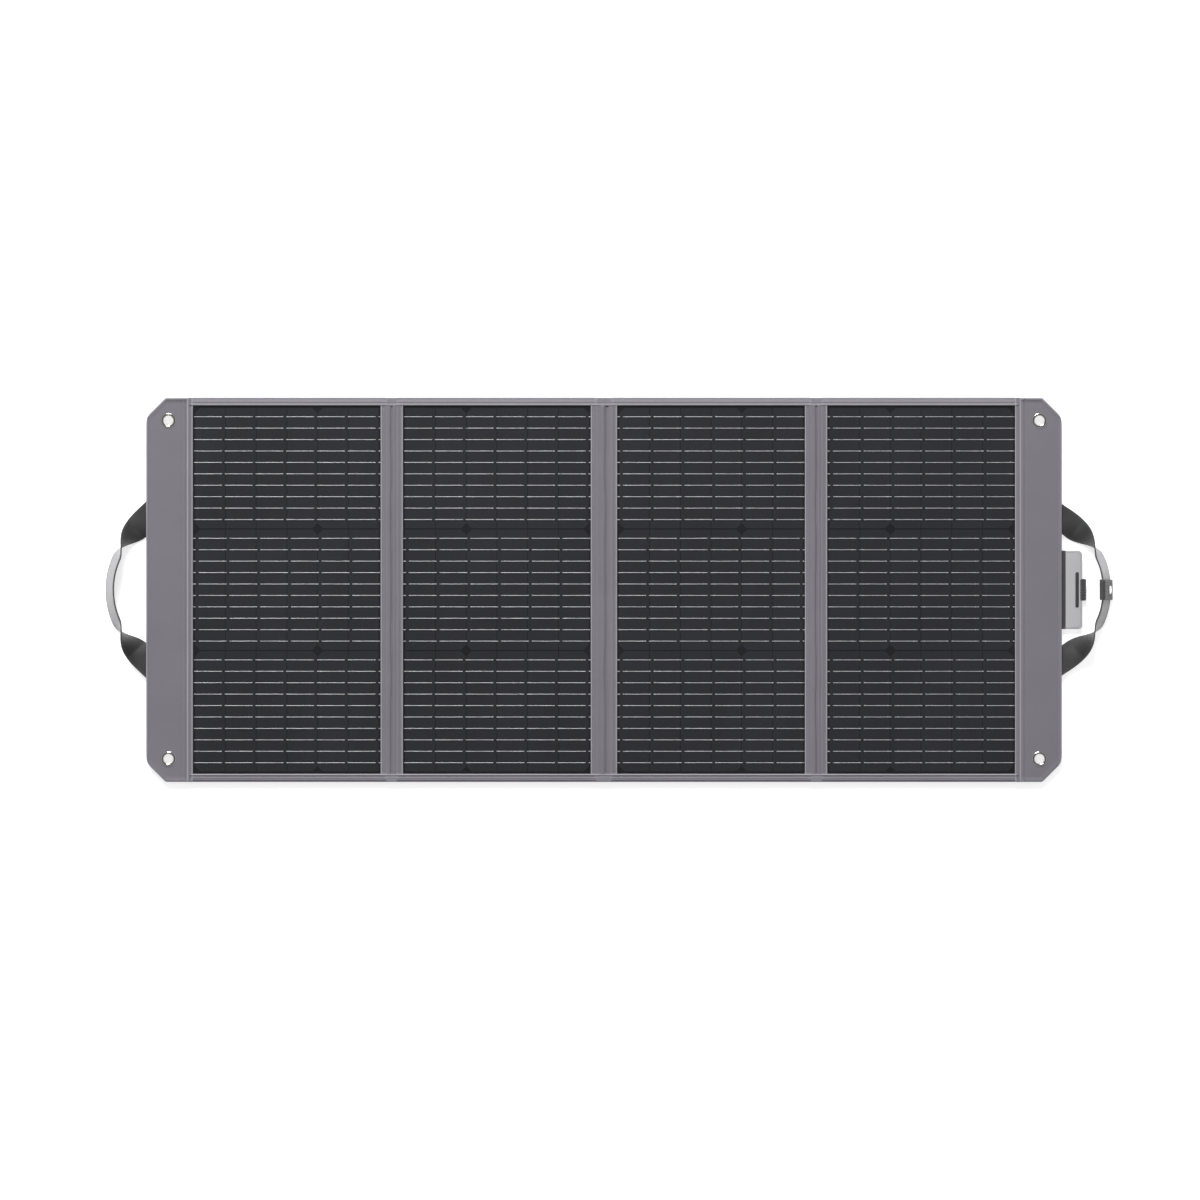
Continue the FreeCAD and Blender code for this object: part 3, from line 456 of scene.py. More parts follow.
def finish_mesh(name, vertices, faces, materials, uvs=None, which=None, sharp=45.0):
    """An object from lists, smooth but for its sharp edges; uvs are one pair a vertex, in metres."""
    mesh = bpy.data.meshes.new(name)
    mesh.from_pydata([tuple(v) for v in vertices], [], [tuple(f) for f in faces])
    mesh.update()
    for material in materials:
        mesh.materials.append(material)
    if which is not None:
        mesh.polygons.foreach_set("material_index", np.asarray(which, np.int32))
    layer = mesh.uv_layers.new(name="cloth")
    loops = np.zeros(len(mesh.loops), np.int32)
    mesh.loops.foreach_get("vertex_index", loops)
    flat = np.asarray(uvs if uvs is not None else [(v[0], v[1]) for v in vertices], np.float32)
    layer.data.foreach_set("uv", flat[loops].ravel())
    mesh.shade_smooth()
    mesh.set_sharp_from_angle(angle=math.radians(sharp))
    thing = bpy.data.objects.new(name, mesh)
    bpy.context.scene.collection.objects.link(thing)
    return thing


def ticks(low, high, marks=(), coarse=9 * MM, fine=(0, 0.35, 0.8, 1.4, 2.1, 3.0, 4.2)):
    """Places along an axis: even and far apart, and close together either side of each mark."""
    count = max(2, int(round((high - low) / coarse)) + 1)
    places = list(np.linspace(low, high, count))
    for mark in marks:
        for offset in fine:
            places += [mark - offset * MM, mark + offset * MM]
    places = sorted(p for p in places if low - 1e-9 <= p <= high + 1e-9)
    kept = [low]
    for place in places:
        if place - kept[-1] > 0.28 * MM:
            kept.append(place)
    if high - kept[-1] > 1e-6:
        kept[-1:] = [kept[-1], high] if high - kept[-1] > 0.2 * MM else [high]
    return np.array(kept)


def grid_piece(name, us, vs, place, top, bottom, material, colour_by=None):
    """A closed piece of cloth or board over a grid: a shaped top, a shaped underside and walls between."""
    u, v = np.meshgrid(us, vs, indexing="ij")
    x, y = place(u, v)
    high, low = top(x, y), bottom(x, y)
    centre_x, centre_y = place((u[1:, 1:] + u[:-1, :-1]) / 2, (v[1:, 1:] + v[:-1, :-1]) / 2)
    rows, columns = x.shape
    total = rows * columns
    number = np.arange(total).reshape(rows, columns)
    points = np.concatenate([np.stack([x, y, z], -1).reshape(-1, 3) for z in (high, low)])
    i, j = (index.ravel() for index in np.indices(centre_x.shape))
    a, b, c, d = number[i, j], number[i + 1, j], number[i + 1, j + 1], number[i, j + 1]
    faces = [np.stack([a, b, c, d], 1), np.stack([d, c, b, a], 1) + total]
    zones = colour_by(centre_x, centre_y)[i, j] if colour_by else np.zeros(len(i), int)
    which = [zones, zones]
    borders = ((j == 0, a, b), (i == rows - 2, b, c), (j == columns - 2, c, d), (i == 0, d, a))
    for border, first, second in borders:
        one, two = first[border], second[border]
        faces.append(np.stack([two, one, one + total, two + total], 1))
        which.append(zones[border])
    faces = np.concatenate(faces)
    materials = material if isinstance(material, list) else [material]
    return finish_mesh(name, points, faces.tolist(), materials, points[:, :2], np.concatenate(which))


def plain(u, v):
    return u, v


def roll(distance, radius):
    """0 at an edge rising to 1 at a radius in from it, as a rounded edge does."""
    t = np.clip(1 - distance / radius, 0, 1)
    return np.sqrt(np.clip(1 - t * t, 0, 1))


def ridge(distance, place, width):
    return np.exp(-(((distance - place) / width) ** 2))


def corner_pull(near, corner):
    """How far a rounded corner draws the edge in, at a distance from the end of the piece."""
    inside = np.clip(corner - near, 0, corner)
    return corner - np.sqrt(np.clip(corner**2 - inside**2, 0, None))


def ripple(place, seed, pitch=0.011):
    """A smooth uneven wave, for cloth that a seam has gathered."""
    t = place / pitch * 2 * math.pi
    return (
        0.5 * np.sin(t + seed * 1.7)
        + 0.3 * np.sin(t * 1.618 + seed * 3.1)
        + 0.25 * np.sin(t * 0.377 + seed * 0.9)
    )


def slab_faces(rows, columns):
    """Faces of two layers of points, each rows by columns of quads, with a wall round their border."""
    stride = columns + 1
    layer = (rows + 1) * stride
    faces = []
    for first in (0, layer):
        for i in range(rows):
            for j in range(columns):
                a = first + i * stride + j
                faces.append((a, a + 1, a + stride + 1, a + stride))
    border = list(range(columns)) + [i * stride + columns for i in range(rows)]
    border += [rows * stride + columns - j for j in range(columns)]
    border += [(rows - i) * stride for i in range(rows)]
    for a, b in zip(border, border[1:] + border[:1]):
        faces.append((a, b, b + layer, a + layer))
    return faces


def loft_faces(rings, count, looped=False):
    """Faces between rings of count points each; the last ring joins the first, or both are capped."""
    faces = []
    for s in range(rings if looped else rings - 1):
        t = (s + 1) % rings
        for k in range(count):
            n = (k + 1) % count
            faces.append((s * count + k, s * count + n, t * count + n, t * count + k))
    if not looped:
        faces.append(tuple(reversed(range(count))))
        faces.append(tuple((rings - 1) * count + k for k in range(count)))
    return faces


def turned_points(profile, steps):
    """A profile of (radius, height) points repeated round Z."""
    points = []
    for step in range(steps):
        angle = 2 * math.pi * step / steps
        c, s = math.cos(angle), math.sin(angle)
        points += [Vector((radius * c, radius * s, height)) for radius, height in profile]
    return points


def lathe(name, profile, centre, material, steps=48):
    """A closed ring turned about Z through centre; profile is (radius, height) points in order round it."""
    vertices = [v + Vector(centre) for v in turned_points(profile, steps)]
    faces = loft_faces(steps, len(profile), looped=True)
    return face_outwards(finish_mesh(name, vertices, faces, [material]))


def turned(name, profile, centre, material, steps, axis):
    """A closed solid turned about an axis; profile runs from the axis out and back to the axis."""
    inner = profile[1:-1]
    count = len(inner)
    vertices = turned_points(inner, steps)
    vertices += [Vector((0, 0, profile[0][1])), Vector((0, 0, profile[-1][1]))]
    first, last = len(vertices) - 2, len(vertices) - 1
    faces = []
    for step in range(steps):
        here, following = step * count, (step + 1) % steps * count
        for k in range(count - 1):
            faces.append((here + k, following + k, following + k + 1, here + k + 1))
        faces.append((first, following, here))
        faces.append((last, here + count - 1, following + count - 1))
    vertices = [axis @ v + Vector(centre) for v in vertices]
    return face_outwards(finish_mesh(name, vertices, faces, [material]))


def face_outwards(thing):
    """Turns the faces of a closed mesh outwards."""
    work = bmesh.new()
    work.from_mesh(thing.data)
    bmesh.ops.recalc_face_normals(work, faces=work.faces)
    work.to_mesh(thing.data)
    work.free()
    thing.data.shade_smooth()
    thing.data.set_sharp_from_angle(angle=math.radians(45))
    return thing


def settled(thing):
    """The piece with its modifiers turned into plain mesh."""
    mesh = bpy.data.meshes.new_from_object(thing.evaluated_get(bpy.context.evaluated_depsgraph_get()))
    thing.modifiers.clear()
    old = thing.data
    thing.data = mesh
    bpy.data.meshes.remove(old)
    return thing


def join(name, things):
    """One object from several, their materials kept."""
    bpy.ops.object.select_all(action="DESELECT")
    for thing in things:
        thing.select_set(True)
    bpy.context.view_layer.objects.active = things[0]
    bpy.ops.object.join()
    things[0].name = name
    things[0].data.name = name
    return things[0]


# ---------------------------------------------------------------- geometry node trees

def geometry_tree(name, inputs):
    """A Geometry Nodes tree with a Geometry socket each way and named float or material inputs."""
    tree = bpy.data.node_groups.new(name, "GeometryNodeTree")
    tree.interface.new_socket("Geometry", in_out="INPUT", socket_type="NodeSocketGeometry")
    for label, kind, default in inputs:
        socket = tree.interface.new_socket(label, in_out="INPUT", socket_type=f"NodeSocket{kind}")
        if default is not None:
            socket.default_value = default
    tree.interface.new_socket("Geometry", in_out="OUTPUT", socket_type="NodeSocketGeometry")
    return tree, tree.nodes.new("NodeGroupInput"), tree.nodes.new("NodeGroupOutput")


def add_node(tree, kind, **settings):
    node = tree.nodes.new(kind)
    for name, value in settings.items():
        setattr(node, name, value)
    return node


def end_tree(tree, entry, exit_, geometry):
    """Every tree ends realized, smooth and with its material."""
    real = add_node(tree, "GeometryNodeRealizeInstances")
    smooth = add_node(tree, "GeometryNodeSetShadeSmooth")
    paint = add_node(tree, "GeometryNodeSetMaterial")
    link(tree, geometry, real.inputs[0])
    link(tree, real.outputs[0], smooth.inputs[0])
    link(tree, smooth.outputs[0], paint.inputs["Geometry"])
    link(tree, entry.outputs["Material"], paint.inputs["Material"])
    link(tree, paint.outputs[0], exit_.inputs[0])


def scaled_shape(tree, shape, across, upright, lengthwise):
    """A primitive stretched by three sockets."""
    size = add_node(tree, "ShaderNodeCombineXYZ")
    link(tree, across, size.inputs["X"])
    link(tree, upright, size.inputs["Y"])
    link(tree, lengthwise, size.inputs["Z"])
    transform = add_node(tree, "GeometryNodeTransform")
    link(tree, shape, transform.inputs["Geometry"])
    link(tree, size.outputs[0], transform.inputs["Scale"])
    return transform.outputs[0]


def points_along(tree, geometry, pitch):
    """Points a pitch apart along edges, with a rotation whose Z follows them."""
    curve = add_node(tree, "GeometryNodeMeshToCurve")
    spread = add_node(tree, "GeometryNodeCurveToPoints", mode="LENGTH")
    turn = add_node(tree, "FunctionNodeAlignRotationToVector", axis="Z")
    link(tree, geometry, curve.inputs[0])
    link(tree, curve.outputs[0], spread.inputs["Curve"])
    link(tree, pitch, spread.inputs["Length"])
    link(tree, spread.outputs["Tangent"], turn.inputs["Vector"])
    return spread.outputs["Points"], turn.outputs[0]


def repeat_tree(name, shape_kind, settings, inputs):
    """Copies of a primitive along the edges it is given."""
    tree, entry, exit_ = geometry_tree(name, inputs)
    shape = add_node(tree, shape_kind)
    for label, value in settings.items():
        shape.inputs[label].default_value = value
    sizes = [entry.outputs[label] for label in ("Width", "Thickness", "Length")]
    body = scaled_shape(tree, shape.outputs["Mesh"], *sizes)
    points, rotation = points_along(tree, entry.outputs[0], entry.outputs["Pitch"])
    copies = add_node(tree, "GeometryNodeInstanceOnPoints")
    link(tree, points, copies.inputs["Points"])
    link(tree, body, copies.inputs["Instance"])
    link(tree, rotation, copies.inputs["Rotation"])
    end_tree(tree, entry, exit_, copies.outputs[0])
    return tree


REPEAT_INPUTS = [
    ("Pitch", "Float", 0.004),
    ("Width", "Float", 0.0003),
    ("Thickness", "Float", 0.0003),
    ("Length", "Float", 0.0016),
    ("Material", "Material", None),
]
BALL = {"Segments": 6, "Rings": 4, "Radius": 1.0}
BLOCK = {"Size": (1.0, 1.0, 1.0)}
STITCHES = repeat_tree("stitches", "GeometryNodeMeshUVSphere", BALL, REPEAT_INPUTS)
TEETH = repeat_tree("zip_teeth", "GeometryNodeMeshCube", BLOCK, REPEAT_INPUTS)


def ribbon_tree():
    """Flat ribbon along each edge, and a drop of solder on each loose point."""
    tree, entry, exit_ = geometry_tree(
        "cell_ribbons",
        [
            ("Ribbon width", "Float", 0.001),
            ("Ribbon thickness", "Float", 0.0002),
            ("Solder radius", "Float", 0.0011),
            ("Material", "Material", None),
        ],
    )
    curve = add_node(tree, "GeometryNodeMeshToCurve")
    profile = add_node(tree, "GeometryNodeCurvePrimitiveQuadrilateral")
    sweep = add_node(tree, "GeometryNodeCurveToMesh")
    sweep.inputs["Fill Caps"].default_value = True
    link(tree, entry.outputs[0], curve.inputs[0])
    link(tree, entry.outputs["Ribbon thickness"], profile.inputs["Height"])
    link(tree, entry.outputs["Ribbon width"], profile.inputs["Width"])
    link(tree, curve.outputs[0], sweep.inputs["Curve"])
    link(tree, profile.outputs[0], sweep.inputs["Profile Curve"])
    marked = add_node(tree, "GeometryNodeInputNamedAttribute", data_type="FLOAT")
    marked.inputs["Name"].default_value = "solder"
    chosen = add_node(tree, "GeometryNodeSeparateGeometry", domain="POINT")
    link(tree, entry.outputs[0], chosen.inputs[0])
    link(tree, marked.outputs["Attribute"], chosen.inputs["Selection"])
    points = add_node(tree, "GeometryNodeMeshToPoints")
    link(tree, chosen.outputs["Selection"], points.inputs[0])
    ball = add_node(tree, "GeometryNodeMeshUVSphere")
    ball.inputs["Segments"].default_value = 8
    ball.inputs["Rings"].default_value = 5
    ball.inputs["Radius"].default_value = 1.0
    drop = scaled_shape(
        tree, ball.outputs["Mesh"], entry.outputs["Solder radius"], entry.outputs["Ribbon width"],
        entry.outputs["Ribbon thickness"],
    )
    copies = add_node(tree, "GeometryNodeInstanceOnPoints")
    link(tree, points.outputs[0], copies.inputs["Points"])
    link(tree, drop, copies.inputs["Instance"])
    both = add_node(tree, "GeometryNodeJoinGeometry")
    link(tree, sweep.outputs[0], both.inputs[0])
    link(tree, copies.outputs[0], both.inputs[0])
    end_tree(tree, entry, exit_, both.outputs[0])
    return tree


RIBBONS = ribbon_tree()


def grow(name, tree, vertices, edges, values, marks=None):
    """Runs a tree on a wire of vertices and edges and keeps the plain mesh that comes out."""
    mesh = bpy.data.meshes.new(name)
    mesh.from_pydata([tuple(v) for v in vertices], edges, [])
    if marks is not None:
        solder = mesh.attributes.new("solder", "FLOAT", "POINT")
        solder.data.foreach_set("value", np.asarray(marks, np.float32))
    thing = bpy.data.objects.new(name, mesh)
    bpy.context.scene.collection.objects.link(thing)
    modifier = thing.modifiers.new("grow", "NODES")
    modifier.node_group = tree
    for item in tree.interface.items_tree:
        if item.in_out == "INPUT" and item.name in values:
            modifier[item.identifier] = values[item.name]
    settled(thing)
    if not thing.data.uv_layers:
        thing.data.uv_layers.new(name="cloth")
    return thing


STITCH_PITCH = 3.9 * MM
STITCH_LENGTH = 1.6 * MM
THREAD_WIDE = 0.42 * MM
THREAD_TALL = 0.3 * MM
THREADS = {}  # rows of stitching to sew, by body and thread


def sew(body, points, dark=False):
    """Notes a row of stitches on a body, sewn at the end."""
    THREADS.setdefault((body, dark), []).append([Vector(p) for p in points])


def sew_path(body, corners, z, dark=True):
    """Sews straight rows from corner to corner at one height."""
    for a, b in zip(corners, corners[1:]):
        sew(body, [(*a, z), (*b, z)], dark)


def line(start, end, surface, steps=60):
    """Points along a straight row that follows a surface."""
    out = []
    for i in range(steps + 1):
        x = start[0] + (end[0] - start[0]) * i / steps
        y = start[1] + (end[1] - start[1]) * i / steps
        out.append((x, y, float(surface(np.array(x), np.array(y))) + 0.1 * MM))
    return out


def sew_all():
    """Turns the rows that were noted into stitches, one piece for each body and thread."""
    for (body, dark), rows in THREADS.items():
        vertices, edges = [], []
        for row in rows:
            start = len(vertices)
            vertices += row
            edges += [(start + k, start + k + 1) for k in range(len(row) - 1)]
        values = {
            "Pitch": STITCH_PITCH,
            "Width": THREAD_WIDE,
            "Thickness": THREAD_TALL,
            "Length": STITCH_LENGTH,
            "Material": DARK_THREAD if dark else GREY_THREAD,
        }
        name = f"{'dark' if dark else 'grey'}_stitching_{body}"
        stitches = grow(name, STITCHES, vertices, edges, values)
        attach(stitches, body)


# ---------------------------------------------------------------- front cover

def flap_half(x):
    """Half height of the cover at a place along it, with the cut and softened corners of the end flaps."""
    out = np.abs(x)
    corner = FLAP_EDGE - FLAP_CUT
    half = HALF_TALL - np.clip(out - corner, 0, None)
    # the soft corner next to the end edge is an arc that meets the 45 degree cut
    reach = FLAP_SOFT * math.tan(math.pi / 8)
    begin = FLAP_EDGE - reach * math.sqrt(0.5)
    centre = FLAP_EDGE - FLAP_SOFT
    base = HALF_TALL - FLAP_CUT - reach
    across = np.clip(out - centre, 0, FLAP_SOFT)
    arc = base + np.sqrt(np.clip(FLAP_SOFT**2 - across**2, 0, None))
    half = np.where(out > begin, np.minimum(half, arc), half)
    # the crisper corner next to the long edge
    near = FLAP_CRISP * math.tan(math.pi / 8)
    start, stop = corner - near, corner + near * math.sqrt(0.5)
    along = np.clip(out - start, 0, FLAP_CRISP)
    bend = HALF_TALL - FLAP_CRISP + np.sqrt(np.clip(FLAP_CRISP**2 - along**2, 0, None))
    return np.where((out > start) & (out < stop), bend, half)


def outline_distance(x, y):
    """How far in from the cover's outer edge a point is, near enough for shaping the cloth."""
    out, up = np.abs(x), np.abs(y)
    end = FLAP_EDGE - out
    side = HALF_TALL - up
    cut = (end + side - FLAP_CUT) / math.sqrt(2)
    near = np.minimum(np.minimum(end, side), cut)
    return np.clip(near, 0, None)


def window_distance(number, x, y):
    """How far outside the window a point is, along X and along Y; negative inside it."""
    left, right = WINDOW[number]
    dx = np.maximum(left - x, x - right)
    dy = np.abs(y) - WINDOW_HALF
    return dx, dy


def flap_side(number, x):
    """Whether a place is on the end flap's side of the window."""
    left, right = WINDOW[number]
    return ((number == 1) & (x < left)) | ((number == 4) & (x > right))


def front_surface(number):
    """Height of the front cloth of one panel, with its hems, seams and gathers."""
    seed = number * 2.3

    def surface(x, y):
        dx, dy = window_distance(number, x, y)
        beside = np.clip(dx, 0, None)
        above = np.clip(dy, 0, None)
        side = (
            FILM_TOP
            + 0.55 * MM * roll(beside, 0.9 * MM)
            + 0.75 * MM * ridge(beside, 1.2 * MM, 1.0 * MM)
            - 0.45 * MM * ridge(beside, 3.6 * MM, 0.8 * MM)
            + 0.28 * MM * ripple(y, seed) * ridge(beside, 4.2 * MM, 2.6 * MM)
            + 0.5 * MM * ridge(beside, 6.4 * MM, 1.8 * MM)
        )
        flap = beside > 9 * MM
        slack = 0.5 + 0.5 * np.clip(ripple(y, seed + 4, 0.09), -1, 1)
        side = np.where(
            flap,
            FILM_TOP + 0.62 * MM + 1.1 * MM * ridge(beside, 12.2 * MM, 1.5 * MM)
            - 0.35 * MM * ridge(beside, 15.4 * MM, 1.0 * MM)
            + 0.25 * MM * slack * ridge(beside, 24 * MM, 7 * MM)
            + 0.12 * MM * ripple(y + x * 0.4, seed, 0.06),
            side,
        )
        band = (
            FILM_TOP
            + 1.0 * MM * roll(above, 1.2 * MM)
            + 0.9 * MM * ridge(above, 1.6 * MM, 1.3 * MM)
            - 0.5 * MM * ridge(above, 4.0 * MM, 0.8 * MM)
            + 0.30 * MM * ripple(x, seed) * ridge(above, 4.6 * MM, 2.6 * MM)
            + 0.6 * MM * ridge(above, 7 * MM, 2.4 * MM)
            - 3.2 * MM * (above / (12.5 * MM)) ** 2
        )
        lap = FILM_TOP + (band - FILM_TOP + 0.2 * MM) * (1 - np.clip(beside / (9 * MM), 0, 1) ** 2)
        side = np.where((dy > 0) & ~flap, np.maximum(side, lap), side)
        height = np.where((dy > 0) & ~flap_side(number, x), band, side)
        outer = outline_distance(x, y)
        binding = np.where(
            flap,
            0.8 * MM * ridge(outer, 2.8 * MM, 1.5 * MM) - 0.45 * MM * ridge(outer, 5.4 * MM, 0.8 * MM),
            0,
        )
        pinch = roll(outer, 2.0 * MM)
        return MIDDLE + 0.2 * MM + (height + binding - MIDDLE - 0.2 * MM) * pinch

    return surface


def front_underside(x, y):
    """The cloth is thin over the film and reaches down to the back cover along its rim."""
    outer = outline_distance(x, y)
    return np.where(outer < 2.6 * MM, BACK_HIGH + 0.06 * MM, FILM_TOP + 0.03 * MM)


def cover_outline(u, v):
    """Shortens the grid's columns to the cover's outline, so its last rows run along the cut corners."""
    return u, v * flap_half(u) / HALF_TALL


def front_zone(number):
    """Which material a face gets: 0 the cover cloth, 1 the long bands, the same cloth made lighter as a
    painted highlight, 2 the hems, lighter still as a painted highlight.
    """
    def zone(x, y):
        dx, dy = window_distance(number, x, y)
        beyond = flap_side(number, x)
        band = (dy > 0) & ~beyond
        # the hems by the window, a strip on the end flap and the flap's rim all take the painted highlight
        edge = np.where(band, dy < 2.0 * MM, dx < 2.0 * MM)
        strip = beyond & (dx > 6.9 * MM) & (dx < 8.8 * MM)
        rim = beyond & (dx > 9 * MM) & (outline_distance(x, y) < 2.2 * MM)
        return np.where(edge | strip | rim, 2, np.where(band, 1, 0))

    return zone


def panel_range(number):
    """The stretch along X that a panel's back takes, with its end flap if it has one."""
    low, high = PANEL[number]
    if number == 1:
        low = -FLAP_EDGE
    if number == 4:
        high = FLAP_EDGE
    return low, high


def end_marks(number):
    """Places along X where the cloth of an end flap is shaped finely."""
    if number not in (1, 4):
        return []
    sign = -1 if number == 1 else 1
    window = WINDOW[number][0 if number == 1 else 1]
    places = [window + sign * 12 * MM, window + sign * 15 * MM]
    return places + [sign * (FLAP_EDGE - inset * MM) for inset in (0, 3, 8, FLAP_CUT / MM)]


def cut_grommet_holes(thing, number):
    """Opens the cloth inside both grommets of an end flap."""
    side = -1 if number == 1 else 1
    for sign in (-1, 1):
        bpy.ops.mesh.primitive_cylinder_add(
            vertices=48, radius=GROMMET_BORE + 1.2 * MM, depth=0.05,
            location=(side * GROMMET_X, sign * GROMMET_Y, MIDDLE),
        )
        cutter = bpy.context.object
        cut = thing.modifiers.new("hole", "BOOLEAN")
        cut.operation = "DIFFERENCE"
        cut.solver = "EXACT"
        cut.object = cutter
        settled(thing)
        bpy.data.objects.remove(cutter)


def front_piece(name, number, us, vs, place=plain):
    """One cut of the front cloth: all its pieces follow the same surface, so their seams meet."""
    cover_and_lit_copies = [COVER, BAND_LIT, HEM_HIGHLIGHT]
    return grid_piece(name, us, vs, place, front_surface(number), front_underside, cover_and_lit_copies, front_zone(number))


def dress_cloth(piece, body):
    """Attaches a cut of the front cover to its panel's body."""
    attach(piece, body)


def front_covers():
    """Two bands and two strips round each window, and the two end flaps."""
    for number in PANELS:
        low, high = PANEL[number]
        left, right = WINDOW[number]
        body, board = f"panel_{number}", f"core_board_{number}"
        for name, start, stop in (("low", low, left), ("high", right, high)):
            tall = HALF_TALL if flap_side(number, (start + stop) / 2) else WINDOW_HALF
            us = ticks(start, stop, [], 0.7 * MM)
            vs = ticks(-tall, tall, [-HALF_TALL, -WINDOW_HALF, WINDOW_HALF, HALF_TALL], 5 * MM)
            strip = front_piece(f"side_hem_{number}_{name}", number, us, vs)
            dress_cloth(strip, body)
        low, high = (left if number == 1 else low), (right if number == 4 else high)
        for name, sign in (("bottom", -1), ("top", 1)):
            us = ticks(low, high, [left, right], 3 * MM)
            near, far = sorted((sign * WINDOW_HALF, sign * HALF_TALL))
            vs = ticks(near, far, [sign * HALF_TALL, sign * (WINDOW_HALF + 1.4 * MM)], 0.8 * MM)
            band = front_piece(f"{name}_band_{number}", number, us, vs)
            dress_cloth(band, body)
        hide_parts(f"front_frame_{number}")
        stitch_front(number, front_surface(number))
    for number, name in ((1, "left"), (4, "right")):
        low, high = panel_range(number)
        start, stop = (low, PANEL[1][0]) if number == 1 else (PANEL[4][1], high)
        us = ticks(start, stop, end_marks(number), 4 * MM)
        vs = ticks(-HALF_TALL, HALF_TALL, [-HALF_TALL, HALF_TALL], 5 * MM)
        flap = front_piece(f"flap_cloth_{name}", number, us, vs, cover_outline)
        cut_grommet_holes(flap, number)
        dress_cloth(
            flap, f"panel_{number}",
        )
        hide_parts(f"end_flap_{name}")


def stitch_front(number, surface):
    """Rows of stitches beside the window, along both long edges and round an end flap."""
    body = f"panel_{number}"
    left, right = WINDOW[number]
    for x in (left - 3.6 * MM, right + 3.6 * MM):
        tall = HALF_TALL - 3 * MM if flap_side(number, x) else WINDOW_HALF - 1 * MM
        sew(body, line((x, -tall), (x, tall), surface, 120))
    start = left + 1 * MM if number == 1 else left - 8 * MM
    stop = right - 1 * MM if number == 4 else right + 8 * MM
    for sign in (-1, 1):
        for rise in (3.8 * MM, 9.6 * MM):
            y = sign * (WINDOW_HALF + rise)
            sew(body, line((start, y), (stop, y), surface, 80))
    if number in (1, 4):
        sign = -1 if number == 1 else 1
        edge = left if number == 1 else right
        x = edge + sign * 14.6 * MM
        sew(body, line((x, -HALF_TALL + 6 * MM), (x, HALF_TALL - 6 * MM), surface, 120))
        inset = 4.9 * MM
        end = sign * (FLAP_EDGE - inset)
        cut = FLAP_CUT + inset * (math.sqrt(2) - 1)
        corner_y = HALF_TALL - cut
        corner_x = sign * (FLAP_EDGE - cut)
        soft = 4.5 * MM
        path = [(edge + sign * 10 * MM, HALF_TALL - inset), (corner_x, HALF_TALL - inset)]
        path += [(end - sign * soft * 0.7, corner_y + soft * 0.7), (end, corner_y - soft)]
        path += [(x, -y) for x, y in reversed(path)]
        for start, stop in zip(path, path[1:]):
            length = math.dist(start, stop)
            sew(body, line(start, stop, surface, max(3, int(length / (6 * MM)))))


def back_underside(seed):
    """Height of the back cloth: turned up at its rim to meet the front, hemmed and slightly uneven."""
    def surface(x, y):
        outer = outline_distance(x, y)
        hem = 0.35 * MM * ridge(outer, 5.5 * MM, 0.8 * MM)
        turn_up = (MIDDLE - BACK_LOW - 0.2 * MM) * (1 - roll(outer, 2.2 * MM))
        return BACK_LOW + hem + turn_up + 0.05 * MM * (1 + ripple(x + y * 0.7, seed, 0.05))

    return surface


def back_top(x, y):
    outer = outline_distance(x, y)
    lifted = MIDDLE - (MIDDLE - BACK_HIGH) * roll(outer, 2.2 * MM)
    return np.where(outer < 2.6 * MM, np.maximum(BACK_HIGH, lifted), BACK_HIGH)


def back_covers():
    """The dark back cloth of each panel, to the same outline as the front."""
    for number in PANELS:
        low, high = panel_range(number)
        us = ticks(low, high, end_marks(number) + list(PANEL[number]), coarse=12 * MM)
        rims = [-HALF_TALL, HALF_TALL, -HALF_TALL + 5 * MM, HALF_TALL - 5 * MM]
        vs = ticks(-HALF_TALL, HALF_TALL, rims, coarse=12 * MM)
        surface = back_underside(number * 1.3)

        def upper(x, y):
            return np.maximum(back_top(x, y), surface(x, y) + 0.3 * MM)

        piece = grid_piece(f"back_cloth_{number}", us, vs, cover_outline, upper, surface, BACK)
        if number in (1, 4):
            cut_grommet_holes(piece, number)
        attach(piece, f"panel_{number}")
        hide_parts(f"back_cover_{number}")
        stitch_back(number, surface)


def stitch_back(number, surface):
    """Rows of stitches along the long edges of a panel's back, beside its folds and at a free end."""
    body = f"panel_{number}"
    low, high = panel_range(number)

    def under(x, y):
        return surface(x, y) - 0.2 * MM

    cut_end = FLAP_EDGE - FLAP_CUT - 3 * MM
    start = max(low, -cut_end) + 4 * MM
    stop = min(high, cut_end) - 4 * MM
    for sign in (-1, 1):
        y = sign * (HALF_TALL - 5.5 * MM)
        sew(body, line((start, y), (stop, y), under), dark=True)
    tall = HALF_TALL - 8 * MM
    for x in (PANEL[number][0] + 4 * MM, PANEL[number][1] - 4 * MM):
        sew(body, line((x, -tall), (x, tall), under), dark=True)
    if number in (1, 4):
        x = (-1 if number == 1 else 1) * (FLAP_EDGE - 5.5 * MM)
        tall = HALF_TALL - FLAP_CUT - 4 * MM
        sew(body, line((x, -tall), (x, tall), under), dark=True)


# ---------------------------------------------------------------- folds

FOLDS = {1: ("panel_2", "panel_1"), 2: ("panel_2", "panel_3"), 3: ("panel_3", "panel_4")}


